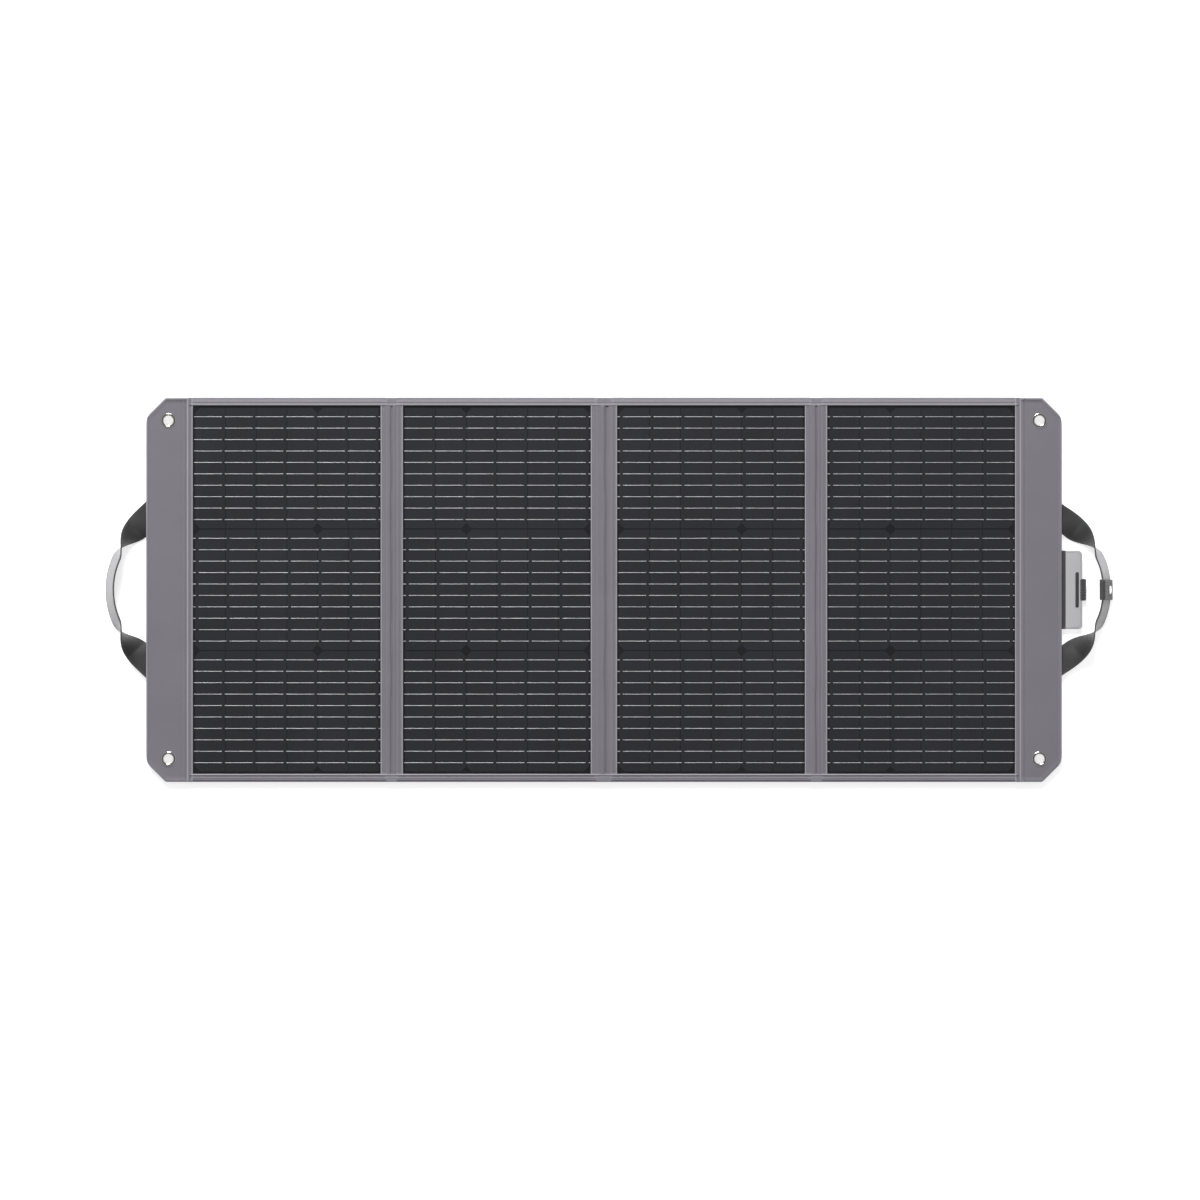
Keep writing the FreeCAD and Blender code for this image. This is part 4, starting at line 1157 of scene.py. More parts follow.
def fold_cloth():
    """Cloth across each fold: a creased front strip that lies in the middle, and a plain back strip."""
    tall = HALF_TALL - 0.1 * MM
    for number, (first, second) in FOLDS.items():
        low, high = span(f"fold_gusset_{number}", "x")
        centre = (low + high) / 2
        half = (high - low) / 2
        lean = {1: -0.04, 2: 0.0, 3: 0.08}[number] * half
        seed = number * 5.1

        def front(x, y):
            along = x - centre
            sway = 0.8 * MM * ripple(y, seed + 1, 0.16)
            crease = (
                -2.2 * MM * ridge(along + sway, lean, 1.6 * MM)
                + 1.2 * MM * ridge(along + sway, lean + 3.4 * MM, 2.0 * MM)
                + 0.5 * MM * ridge(along, lean - 4.2 * MM, 1.8 * MM)
            )
            if number == 2:
                crease = (
                    1.3 * MM * ridge(along + sway, -1.6 * MM, 2.6 * MM)
                    - 2.2 * MM * ridge(along + sway, 4.6 * MM, 2.4 * MM)
                    + 0.4 * MM * ridge(along, 8 * MM, 1.4 * MM)
                )
            wander = 0.22 * MM * ripple(y, seed, 0.07) + 0.12 * MM * ripple(y, seed + 2, 0.02)
            taper = roll(half - np.abs(along), 3 * MM)
            base = FILM_TOP + 0.62 * MM
            band = np.abs(y) > WINDOW_HALF
            bandage = np.where(
                band,
                0.45 * MM
                + 0.45 * MM * ridge(np.abs(y) - WINDOW_HALF, 1.4 * MM, 1.0 * MM)
                - 0.4 * MM * ridge(np.abs(y) - WINDOW_HALF, 3.8 * MM, 0.8 * MM)
                - 0.5 * MM * ridge(along, -0.3 * half, 1.2 * MM),
                0,
            )
            height = base + (crease + wander) * np.where(band, 0.2, 1.0) * taper + bandage
            pinch = roll(tall - np.abs(y), 2 * MM)
            return MIDDLE + 0.3 * MM + (height - MIDDLE - 0.3 * MM) * pinch

        def under(x, y):
            return front(x, y) - 0.6 * MM

        # zones 1 and 2 give the bands' and the hems' lighter copies of the cover cloth, painted highlights
        def zone(x, y):
            rise = np.abs(y) - WINDOW_HALF
            return np.where(rise > 2.0 * MM, 1, np.where(rise > 0, 2, 0))

        us = ticks(low, high, (), coarse=1.0 * MM)
        seams = [sign * (WINDOW_HALF + rise) for sign in (-1, 1) for rise in (1 * MM, 5 * MM)]
        vs = ticks(-tall, tall, seams + [-tall, tall], coarse=5 * MM)
        top = grid_piece(f"fold_front_{number}", us, vs, plain, front, under, [COVER, BAND_LIT, HEM_HIGHLIGHT], zone)

        def back(x, y):
            pinch = roll(tall - np.abs(y), 2 * MM)
            sag = 0.25 * MM * ridge(x - centre, 0, 3 * MM)
            return BACK_LOW + 0.05 * MM + sag + (1 - pinch) * (MIDDLE - BACK_LOW - 0.8 * MM)

        def back_upper(x, y):
            return back(x, y) + 0.6 * MM

        base = grid_piece(f"fold_back_{number}", us, vs, plain, back_upper, back, BACK)
        for piece in (top, base):
            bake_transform(piece)
        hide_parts(f"fold_gusset_{number}")


# ---------------------------------------------------------------- cells and ribbons

STRIPS, ROWS, BUSBARS = 6, 3, 10
RIBBON_SHIFT = 3.5 * MM  # the breaks in the ribbons are this far from the gaps between strips
RIBBON_BREAK = 4.5 * MM
STRIP_GAP = 1 * MM
ROW_GAP = 2 * MM
BUSBAR_SHARE = 0.95  # of a row's height that its busbars are spread over
SOLDER_INSETS = (5.5 * MM, 1.6 * MM)  # of the drops from a ribbon's start, by turns
SOLDER_SPREAD = 7.1 * MM  # the two insets together


def ribbons():
    """Short ribbons from strip to strip, broken on the other side in alternate rows."""
    for number in PANELS:
        low, high = CELLS[number]
        pitch_x = (high.x - low.x + STRIP_GAP) / STRIPS
        row_pitch = (high.y - low.y + ROW_GAP) / ROWS
        busbar = (row_pitch - ROW_GAP) * BUSBAR_SHARE / BUSBARS
        z = span(f"busbar_ribbons_{number}", "z")[0] + 0.1 * MM
        vertices, edges, marks = [], [], []
        for row in range(ROWS):
            shift = -RIBBON_SHIFT if (row % 2 == 0) == (number < 3) else RIBBON_SHIFT
            middle = (row - (ROWS - 1) / 2) * row_pitch
            for bar in range(BUSBARS):
                y = middle + (bar - (BUSBARS - 1) / 2) * busbar
                for strip in range(-1, STRIPS + 1):
                    begin = low.x + strip * pitch_x + shift + (RIBBON_BREAK / 2)
                    end = begin + pitch_x - RIBBON_BREAK
                    begin, end = max(begin, low.x - WINDOW_GAP_X), min(end, high.x + WINDOW_GAP_X)
                    if end <= begin:
                        continue
                    start = len(vertices)
                    vertices += [(begin, y, z), (end, y, z)]
                    edges.append((start, start + 1))
                    marks += [0, 0]
                    inset = SOLDER_INSETS[(strip + row) % 2]
                    for x in (begin + inset, end - SOLDER_SPREAD + inset):
                        if begin < x < end:
                            vertices.append((x, y, z + 0.06 * MM))
                            marks.append(1)
        values = {
            "Ribbon width": 0.8 * MM,
            "Ribbon thickness": 0.2 * MM,
            "Solder radius": 1.4 * MM,
            "Material": RIBBON,
        }
        piece = grow(f"ribbons_{number}", RIBBONS, vertices, edges, values, marks)
        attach(piece, f"panel_{number}")
        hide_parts(f"busbar_ribbons_{number}")


# ---------------------------------------------------------------- grommets

SIDES = ((-1, "left", "panel_1"), (1, "right", "panel_4"))
WASHER_RADIUS = 12 * MM


def arc_points(centre, radius, start, end, count, stretch=1.0):
    """Points round an arc given in degrees, its height stretched."""
    points = []
    for k in range(count + 1):
        angle = math.radians(start + (end - start) * k / count)
        points.append((centre[0] + radius * math.cos(angle), centre[1] + radius * stretch * math.sin(angle)))
    return points


def eyelet_profile(low, high):
    """Up the bore, over the dome, back along the barrel's outside and round its curled end."""
    dome_wide, dome_tall, flange, wall, curl = 2.1 * MM, 1.3 * MM, 2.65 * MM, 0.8 * MM, 0.9 * MM
    crown = GROMMET_BORE + dome_wide
    rise = high - FRONT
    profile = [(GROMMET_BORE, low + 0.5 * MM), (GROMMET_BORE, high - dome_tall)]
    profile += arc_points((crown, high - dome_tall), dome_wide, 180, 90, 8, dome_tall / dome_wide)[1:]
    for share in (0.2, 0.4, 0.55, 0.7, 0.8, 0.88, 0.94, 0.98, 1.0):
        profile.append((crown + flange * share, high - (rise - 0.1 * MM) * share**3))
    profile += [(crown + 2.5 * MM, FRONT - 0.35 * MM), (GROMMET_BORE + wall, FRONT - 0.3 * MM)]
    profile += [(GROMMET_BORE + wall, low + curl)]
    profile += arc_points((GROMMET_BORE + curl, low + curl), curl, 0, -180, 6)[1:]
    return profile


def washer_profile():
    """A thin washer against the back, with a softened rim."""
    inner = GROMMET_BORE + 0.95 * MM
    return [
        (inner, BACK_LOW),
        (WASHER_RADIUS, BACK_LOW),
        (WASHER_RADIUS, BACK_LOW - 0.35 * MM),
        (WASHER_RADIUS - 0.4 * MM, BACK_LOW - 0.6 * MM),
        (GROMMET_BORE + 2.0 * MM, BACK_LOW - 0.8 * MM),
        (inner, BACK_LOW - 0.5 * MM),
    ]


def grommets():
    """Rolled eyelets: a domed front flange that turns into the barrel, and a washer rolled over behind."""
    for side, name, body in SIDES:
        low, high = span(f"grommets_{name}", "z")
        pieces = []
        for sign in (-1, 1):
            centre = (side * GROMMET_X, sign * GROMMET_Y, 0)
            pieces.append(lathe(f"eyelet_{name}_{sign}", eyelet_profile(low, high), centre, NICKEL, 64))
            pieces.append(lathe(f"washer_{name}_{sign}", washer_profile(), centre, NICKEL, 64))
        whole = join(f"eyelets_{name}", pieces)
        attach(whole, body)
        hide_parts(f"grommets_{name}")


# ---------------------------------------------------------------- handles

WEBBING_WIDE = 38 * MM
WEBBING_THICK = 1.8 * MM
HANDLE_HALF = 107 * MM
HANDLE_START = 1.3 * MM
HANDLE_LEVEL = 8 * MM
REACH = {-1: 54 * MM, 1: 66 * MM}
PATH_POWER = {-1: 2.1, 1: 2.5}
TURN_MIDDLE = math.radians(116)
TURN_SPAN = 0.55
TAIL = 45 * MM


def smoothstep(value):
    value = min(max(value, 0.0), 1.0)
    return value * value * (3 - 2 * value)


def handle_place(side, along):
    """Middle of the webbing, its direction and its turn on edge; along is 1 to -1 on the free loop."""
    power, reach = PATH_POWER[side], REACH[side]
    near = min(abs(along), 1.0)
    sign = math.copysign(1, along)
    out = reach * (1 - near**power)
    slope = -reach * power * near ** (power - 1) * sign
    turn = TURN_MIDDLE * smoothstep((1 - near) / TURN_SPAN)
    lift = 3.4 * MM * smoothstep((0.5 - near) / 0.4) if side > 0 else 0
    half_up = WEBBING_WIDE / 2 * math.sin(turn) + WEBBING_THICK / 2 * abs(math.cos(turn))
    height = max(HANDLE_LEVEL, half_up + 0.4 * MM + lift)
    tangent = Vector((side * slope, HANDLE_HALF, 0)).normalized()
    start = HANDLE_START * smoothstep((near - 0.8) / 0.2)
    middle = Vector((side * (FLAP_EDGE + out + start), sign * near * HANDLE_HALF, height))
    if abs(along) > 1:
        middle += tangent * sign * (abs(along) - 1)
    return middle, tangent, turn


def strap_frame(side, along):
    """The middle of the webbing with its directions across the width and through the thickness."""
    middle, tangent, turn = handle_place(side, along)
    outward = Vector((tangent.y, -tangent.x, 0))
    if outward.x * side < 0:
        outward = -outward
    up = Vector((0, 0, 1))
    across = outward * math.cos(turn) + up * math.sin(turn)
    through = up * math.cos(turn) - outward * math.sin(turn)
    return middle, across, through


def strap_outline():
    """Section of the webbing as (across, through) shares of half its width and half its thickness."""
    points = [(-0.985 + 1.97 * k / 12, 1.0) for k in range(13)]
    points += [(1.0, 0.45), (1.0, -0.45)]
    points += [(0.985 - 1.97 * k / 12, -1.0) for k in range(13)]
    points += [(-1.0, -0.45), (-1.0, 0.45)]
    return points


def handles():
    """Black webbing lined with grey, sewn under each flap, turned on edge in the middle of the loop."""
    outline = strap_outline()
    count = len(outline)
    for side, name, panel in SIDES:
        stations = [1 + TAIL * (1 - k / 12) for k in range(12)]
        stations += [1 - 2 * k / 120 for k in range(121)]
        stations += [-1 - TAIL * (k + 1) / 12 for k in range(12)]
        vertices, uvs, run = [], [], 0.0
        previous = None
        for station in stations:
            middle, across, through = strap_frame(side, station)
            run += (middle - previous).length if previous is not None else 0.0
            previous = middle
            for wide, thick in outline:
                vertices.append(
                    middle + across * (wide * WEBBING_WIDE / 2) + through * (thick * WEBBING_THICK / 2)
                )
                uvs.append((run, wide * WEBBING_WIDE / 2))
        lined = []
        for k in range(count):
            n = (k + 1) % count
            low_side = outline[k][1] < 0 and outline[n][1] < 0
            far_edge = max(outline[k][0], outline[n][0]) > 0.86
            lined.append(1 if low_side and not far_edge else 0)
        which = lined * (len(stations) - 1) + [0, 0]
        faces = loft_faces(len(stations), count)
        strap = finish_mesh(f"handle_{name}", vertices, faces, [WEBBING, LINING], uvs, which, 60)
        face_outwards(strap)
        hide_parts(f"handle_strap_{name}", f"handle_tails_{name}")
        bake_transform(strap)
        for edge in (-1, 1):
            for face in (-1, 1):
                row = []
                for k in range(101):
                    middle, across, through = strap_frame(side, 0.9 - 1.8 * k / 100)
                    point = middle + across * (edge * (WEBBING_WIDE / 2 - 2.8 * MM))
                    point += through * (face * (WEBBING_THICK / 2 + 0.05 * MM))
                    if abs(point.x) > FLAP_EDGE + 5 * MM:
                        row.append(point)
                sew(f"handle_{name}", row, dark=face > 0)
        for sign in (-1, 1):
            box_stitch(panel, side, sign)


def box_stitch(panel, side, sign):
    """The sewn box with a cross that holds a tail under the flap."""
    _, across, _ = strap_frame(side, sign * 1.001)
    start = handle_place(side, sign * (1 + 10 * MM))[0]
    end = handle_place(side, sign * (1 + TAIL - 5 * MM))[0]
    drop = Vector((0, 0, -WEBBING_THICK / 2 - 0.1 * MM))
    half = across * (WEBBING_WIDE / 2 - 4 * MM)
    corners = [start - half + drop, start + half + drop, end + half + drop, end - half + drop]
    for a, b in zip(corners, corners[1:] + corners[:1]):
        sew(panel, [a, b], dark=True)
    sew(panel, [corners[0], corners[2]], dark=True)
    sew(panel, [corners[1], corners[3]], dark=True)


# ---------------------------------------------------------------- grip wrap

def rounded_ring(low, high, near, far, radius, count=6):
    """A rounded rectangle as (across, through) points, anticlockwise."""
    points = []
    for cx, cy, begin in (
        (high - radius, far - radius, 0), (low + radius, far - radius, 90),
        (low + radius, near + radius, 180), (high - radius, near + radius, 270),
    ):
        for k in range(count + 1):
            angle = math.radians(begin + 90 * k / count)
            points.append((cx + radius * math.cos(angle), cy + radius * math.sin(angle)))
    return points


def grip_place(across, along, through):
    middle, turned_across, turned_through = strap_frame(1, 0.0)
    return middle + turned_across * across + Vector((0, along, 0)) + turned_through * through


def tube_piece(name, outer, inner, stations, material):
    """A sleeve: rings of outer points and inner points along its length, closed at both mouths."""
    rings, uvs = [], []
    for along, swell in stations:
        for across, through in outer:
            rings.append(grip_place(across * swell, along, through * swell))
            uvs.append((across, along))
    for along, swell in reversed(stations):
        for across, through in inner:
            rings.append(grip_place(across, along, through))
            uvs.append((across, along))
    faces = loft_faces(2 * len(stations), len(outer), looped=True)
    return face_outwards(finish_mesh(name, rings, faces, [material], uvs))


GRIP_LOW, GRIP_HIGH = -20.9 * MM, 23.6 * MM  # across the webbing, past its two edges
GRIP_WALL = 1.4 * MM
GRIP_INSIDE = 2.6 * MM
GRIP_HALF = 15.5 * MM
TAB_HALF = 14.8 * MM
TAB_LONG = 32 * MM
TAB_ROUND = 7 * MM  # radius of the free end
TAB_FAR = -GRIP_INSIDE - GRIP_WALL - 0.3 * MM
TAB_NEAR = TAB_FAR - 1.4 * MM
TAB_END = GRIP_HIGH - TAB_LONG


def grip():
    """The padded wrap on the right handle: a sleeve, a tab that closes over it, and a press stud."""
    outside = GRIP_INSIDE + GRIP_WALL
    outer = rounded_ring(GRIP_LOW, GRIP_HIGH, -outside, outside, 2.6 * MM)
    inner = rounded_ring(GRIP_LOW + GRIP_WALL, GRIP_HIGH - GRIP_WALL, -GRIP_INSIDE, GRIP_INSIDE, 1.4 * MM)
    ends = [(-GRIP_HALF, 0.965), (-GRIP_HALF + 0.5 * MM, 0.99), (-GRIP_HALF + 1.4 * MM, 1.0)]
    stations = ends + [(along * MM, 1.0) for along in range(-12, 13, 4)]
    stations += [(-along, swell) for along, swell in reversed(ends)]
    sleeve = tube_piece("grip_sleeve", outer, inner, stations, TRIM)
    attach(sleeve, "handle_right")
    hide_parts("grip_wrap")
    grip_flap()
    press_stud()


def grip_flap():
    """The tab's soft flap: padded in the middle, rounded at its free end and stitched along its rim."""
    vertices, uvs = [], []
    rows, columns = 22, 15
    middle = (TAB_NEAR + TAB_FAR) / 2
    for face in (-1, 1):
        for i in range(rows + 1):
            share = i / rows
            across = GRIP_HIGH - TAB_LONG * share
            lead = across - TAB_END
            trim = TAB_HALF
            if lead <= TAB_ROUND:
                trim += math.sqrt(max(TAB_ROUND**2 - (TAB_ROUND - lead) ** 2, 0)) - TAB_ROUND
            for j in range(columns + 1):
                along = -1 + 2 * j / columns
                rim = min(1 - abs(along), min(share, 1 - share) * 2) * 6
                puff = float(roll(np.array(rim), 1.0))
                half_thick = (TAB_FAR - TAB_NEAR) / 2 * (0.45 + 0.55 * puff)
                vertices.append(grip_place(across, along * trim, middle + face * half_thick))
                uvs.append((across, along * trim))
    faces = slab_faces(rows, columns)
    tab = face_outwards(finish_mesh("grip_flap", vertices, faces, [TRIM], uvs, None, 70))
    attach(tab, "grip_tab")
    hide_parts("grip_tab")

    wide, lift = 12.4 * MM, TAB_NEAR - 0.05 * MM
    rim = [grip_place(GRIP_HIGH - 3 * MM, wide, lift)]
    for k in range(41):
        angle = math.pi * k / 40
        rim.append(grip_place(TAB_END + 8.5 * MM - 6 * MM * math.sin(angle), wide * math.cos(angle), lift))
    rim.append(grip_place(GRIP_HIGH - 3 * MM, -wide, lift))
    sew("grip_tab", rim)


def press_stud():
    """The bright cap of the press stud, with a groove inside its rim."""
    _, turned_across, turned_through = strap_frame(1, 0.0)
    axis = Matrix((turned_across, Vector((0, 1, 0)), -turned_through)).transposed()
    radius, rise = 6.4 * MM, 1.8 * MM
    profile = [
        (0, 0),
        (radius * 0.96, 0),
        (radius, 0.3 * MM),
        (radius * 0.97, 0.75 * MM),
        (radius * 0.86, 1.15 * MM),
        (radius * 0.80, 1.05 * MM),
        (radius * 0.72, 1.15 * MM),
        (radius * 0.5, rise * 0.9),
        (radius * 0.25, rise),
        (0, rise),
    ]
    centre = grip_place(TAB_END + 8.4 * MM, 0, TAB_NEAR)
    snap = turned("press_stud", profile, centre, NICKEL, 40, axis)
    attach(snap, "grip_tab")
    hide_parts("grip_snap")


# ---------------------------------------------------------------- closure flap

FINE = (0, 0.3, 0.8, 1.6, 3, 5)  # mm either side of an edge where a rolled piece is cut finely


def plate(
    name, low, high, z0, z1, material, corner, edge, bulge, coarse, seed=0.0, ends=("low", "high"), zone=None
):
    """A board or patch of cloth: rounded corners at the named ends, rolled edges, a bulging upper face."""
    (x0, y0), (x1, y1) = low, high
    us = ticks(x0, x1, [x0, x1], coarse, FINE)
    vs = ticks(y0, y1, [y0, y1], coarse, FINE)
    middle = (z0 + z1) / 2

    def place(u, v):
        """Pulls the ends of each column in round the corners."""
        pull = np.zeros(np.shape(u))
        for near, end in ((u - x0, "low"), (x1 - u, "high")):
            if end in ends:
                pull = np.maximum(pull, corner_pull(near, corner))
        centre = (y0 + y1) / 2
        half = (y1 - y0) / 2
        return u, centre + (v - centre) * (half - pull) / half

    def rim(x, y):
        d = np.minimum(np.minimum(x - x0, x1 - x), np.minimum(y - y0, y1 - y))
        cx = np.clip(corner - np.minimum(x - x0, x1 - x), 0, None)
        cy = np.clip(corner - np.minimum(y - y0, y1 - y), 0, None)
        in_corner = (cx > 0) & (cy > 0)
        round_d = corner - np.sqrt(cx**2 + cy**2)
        return np.clip(np.where(in_corner & bool(ends), round_d, d), 0, None)

    def top(x, y):
        d = rim(x, y)
        swell = bulge * roll(d, 25 * MM) + 0.04 * MM * ripple(x + y, seed, 0.03)
        return middle + (z1 - middle + swell) * (0.12 + 0.88 * roll(d, edge))

    def bottom(x, y):
        return middle - (middle - z0) * (0.12 + 0.88 * roll(rim(x, y), edge))

    return grid_piece(name, us, vs, place, top, bottom, material, zone)


def closure():
    """The pale closing flap behind the right end, with a dark strip at its root that is painted shade, its
    dark magnet bar and its stitched pull tab.
    """
    low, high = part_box("closure_flap")
    root = FLAP_EDGE - 14 * MM

    # the flap up to 5 mm past the end flap's edge takes the dark trim: painted shade where its root runs down
    # behind the end flap
    def zone(x, y):
        return np.where(x < FLAP_EDGE + 5 * MM, 1, 0)

    flap = plate(
        "closing_flap", (root, low.y), (high.x, high.y), low.z, high.z, [PALE, TRIM],
        6 * MM, 0.8 * MM, 0.3 * MM, 2.5 * MM, 3.0, ends=("high",), zone=zone,
    )
    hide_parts("closure_flap")
    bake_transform(flap)
    inset = 2.6 * MM
    y0, y1, x1 = low.y + inset, high.y - inset, high.x - inset
    top = high.z + 0.12 * MM
    path = [(FLAP_EDGE + 4 * MM, y0, top), (x1 - 4 * MM, y0, top), (x1, y0 + 4 * MM, top)]
    path += [(x1, y1 - 4 * MM, top), (x1 - 4 * MM, y1, top), (FLAP_EDGE + 4 * MM, y1, top)]
    sew("closure_flap", path)
    sew("closure_flap", [(x, y, low.z - 0.1 * MM) for x, y, _ in path])

    bar_low, bar_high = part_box("magnet_bar")
    radius = (bar_high.x - bar_low.x) / 2
    centre_x = (bar_high.x + bar_low.x) / 2
    ring = []
    for centre_y, begin in ((bar_high.y - radius, 0), (bar_low.y + radius, 180)):
        for k in range(17):
            angle = math.radians(begin + 180 * k / 16)
            ring.append((centre_x, centre_y, math.cos(angle), math.sin(angle)))
    layers = [
        (1.0, high.z - 0.2 * MM),
        (1.0, bar_high.z - 0.45 * MM),
        (0.86, bar_high.z - 0.1 * MM),
        (0.62, bar_high.z),
    ]
    vertices = []
    for share, z in layers:
        vertices += [(x + radius * share * c, y + radius * share * s, z) for x, y, c, s in ring]
    faces = loft_faces(len(layers), len(ring))
    bar = face_outwards(finish_mesh("magnet_strip", vertices, faces, [PLASTIC]))
    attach(bar, "closure_flap")
    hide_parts("magnet_bar")

    tab_low, tab_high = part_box("pull_tab")
    tab = plate(
        "pull_loop", (tab_low.x - 3.5 * MM, tab_low.y), (tab_high.x, tab_high.y),
        low.z - 0.35 * MM, high.z + 0.55 * MM, TRIM, 2.0 * MM, 0.7 * MM, 0.0, 2 * MM, 1.0,
    )
    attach(tab, "closure_flap")
    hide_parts("pull_tab")
    y0, y1 = tab_low.y + 1.5 * MM, tab_high.y - 1.5 * MM
    for x in (tab_low.x - 2.2 * MM, tab_high.x - 1.6 * MM):
        sew_path("closure_flap", [(x, y0), (x, y1)], high.z + 0.6 * MM, dark=False)


# ---------------------------------------------------------------- kickstands

def kickstands():
    """The two stands on the back: cloth over a board, a rubber foot, a webbing hinge and a limiter strap."""
    for side, name, panel in SIDES:
        body = f"stand_{name}"
        low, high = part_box(f"stand_cover_{name}")
        cover = plate(
            f"stand_sleeve_{name}", (low.x, low.y), (high.x, high.y), low.z, high.z, STAND,
            5 * MM, 1.8 * MM, 0.0, 9 * MM, side * 2.0, ends=(),
        )
        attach(cover, body)
        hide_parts(f"stand_cover_{name}", f"stand_board_{name}")
        inset = 6 * MM
        x0, x1, y0, y1 = low.x + inset, high.x - inset, low.y + 3 * MM, high.y - inset
        for z in (low.z - 0.05 * MM, high.z + 0.08 * MM):
            sew_path(body, [(x0, y0), (x0, y1), (x1, y1), (x1, y0)], max(z, 0.05 * MM))
        foot(name, body)
        hinge_strip(name, panel, body)
        limiter_strap(name, panel, body)


def foot(name, body):
    """Rubber cap on the stand's free end, ribbed underneath."""
    low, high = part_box(f"stand_foot_{name}")
    us = ticks(low.x, high.x, [low.x, high.x], 1.6 * MM, FINE)
    vs = ticks(low.y, high.y, [low.y, high.y], 1.5 * MM, FINE[:4])
    middle = (low.z + high.z) / 2
    radius = high.y - low.y - 1 * MM

    def place(u, v):
        pull = corner_pull(np.minimum(u - low.x, high.x - u), radius)
        return u, high.y - (high.y - v) * (high.y - low.y - pull) / (high.y - low.y)

    def rim(x, y):
        return np.clip(np.minimum(y - low.y, np.minimum(x - low.x, high.x - x)), 0, None)

    def top(x, y):
        groove = 0.25 * MM * ridge(high.y - y, 3.4 * MM, 0.7 * MM)
        return middle + (high.z - middle) * (0.2 + 0.8 * roll(rim(x, y), 1.6 * MM)) - groove

    def bottom(x, y):
        ribs = 0.35 * MM * np.clip(np.sin(x / (3.2 * MM) * 2 * math.pi), 0, 1) * (high.y - y > 4 * MM)
        return middle - (middle - low.z) * (0.2 + 0.8 * roll(rim(x, y), 1.6 * MM)) + ribs

    cap = grid_piece(f"foot_{name}", us, vs, place, top, bottom, RUBBER)
    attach(cap, body)
    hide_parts(f"stand_foot_{name}")


def ribbon_piece(name, path, width, thick, material, x):
    """A flat strip of webbing across X that follows (y, z) points, with its length as its own coordinate."""
    vertices, uvs, faces = [], [], []
    run = 0.0
    count = len(path)
    columns = 10
    for k, (y, z) in enumerate(path):
        before, after = path[max(k - 1, 0)], path[min(k + 1, count - 1)]
        dy, dz = after[0] - before[0], after[1] - before[1]
        size = math.hypot(dy, dz) or 1.0
        normal = (-dz / size * thick / 2, dy / size * thick / 2)
        if k:
            run += math.dist(path[k - 1], path[k])
        for face in (1, -1):
            for c in range(columns + 1):
                share = -1 + 2 * c / columns
                out = face if abs(share) < 0.99 else face / 2
                vertices.append((x + share * width / 2, y + normal[0] * out, z + normal[1] * out))
                uvs.append((run, share * width / 2))
    ring = 2 * (columns + 1)
    order = list(range(columns + 1)) + list(range(ring - 1, columns, -1))
    for k in range(count - 1):
        for i in range(ring):
            a, b = order[i], order[(i + 1) % ring]
            faces.append((k * ring + a, k * ring + b, (k + 1) * ring + b, (k + 1) * ring + a))
    faces.append(tuple(reversed(order)))
    faces.append(tuple((count - 1) * ring + i for i in order))
    return face_outwards(finish_mesh(name, vertices, faces, [material], uvs, None, 70))


def hinge_strip(name, panel, body):
    """Webbing hinge from the panel's back to the inner face of the stand."""
    low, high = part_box(f"stand_hinge_{name}")
    stand_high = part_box(f"stand_cover_{name}")[1]
    thick = 0.8 * MM
    x = (low.x + high.x) / 2
    flat = high.z - thick / 2
    top = stand_high.z + thick / 2 + 0.05 * MM
    path = [(high.y, flat), (high.y - 8 * MM, flat), (low.y + 3 * MM, flat)]
    for k in range(13):
        share = k / 12
        y = low.y + 3 * MM - share * 9 * MM
        path.append((y, flat + (top - flat) * smoothstep(share)))
    path += [(stand_high.y - 10 * MM, top), (stand_high.y - 22 * MM, top)]
    strip = ribbon_piece(f"hinge_webbing_{name}", path, high.x - low.x, thick, TRIM, x)
    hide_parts(f"stand_hinge_{name}")
    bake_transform(strip)
    x0, x1 = low.x + 3 * MM, high.x - 3 * MM
    for y in (high.y - 3 * MM, high.y - 9 * MM):
        sew_path(panel, [(x0, y), (x1, y)], flat - thick / 2 - 0.1 * MM)
    for y in (stand_high.y - 19 * MM, stand_high.y - 13 * MM):
        sew_path(body, [(x0, y), (x1, y)], top + thick / 2 + 0.1 * MM)


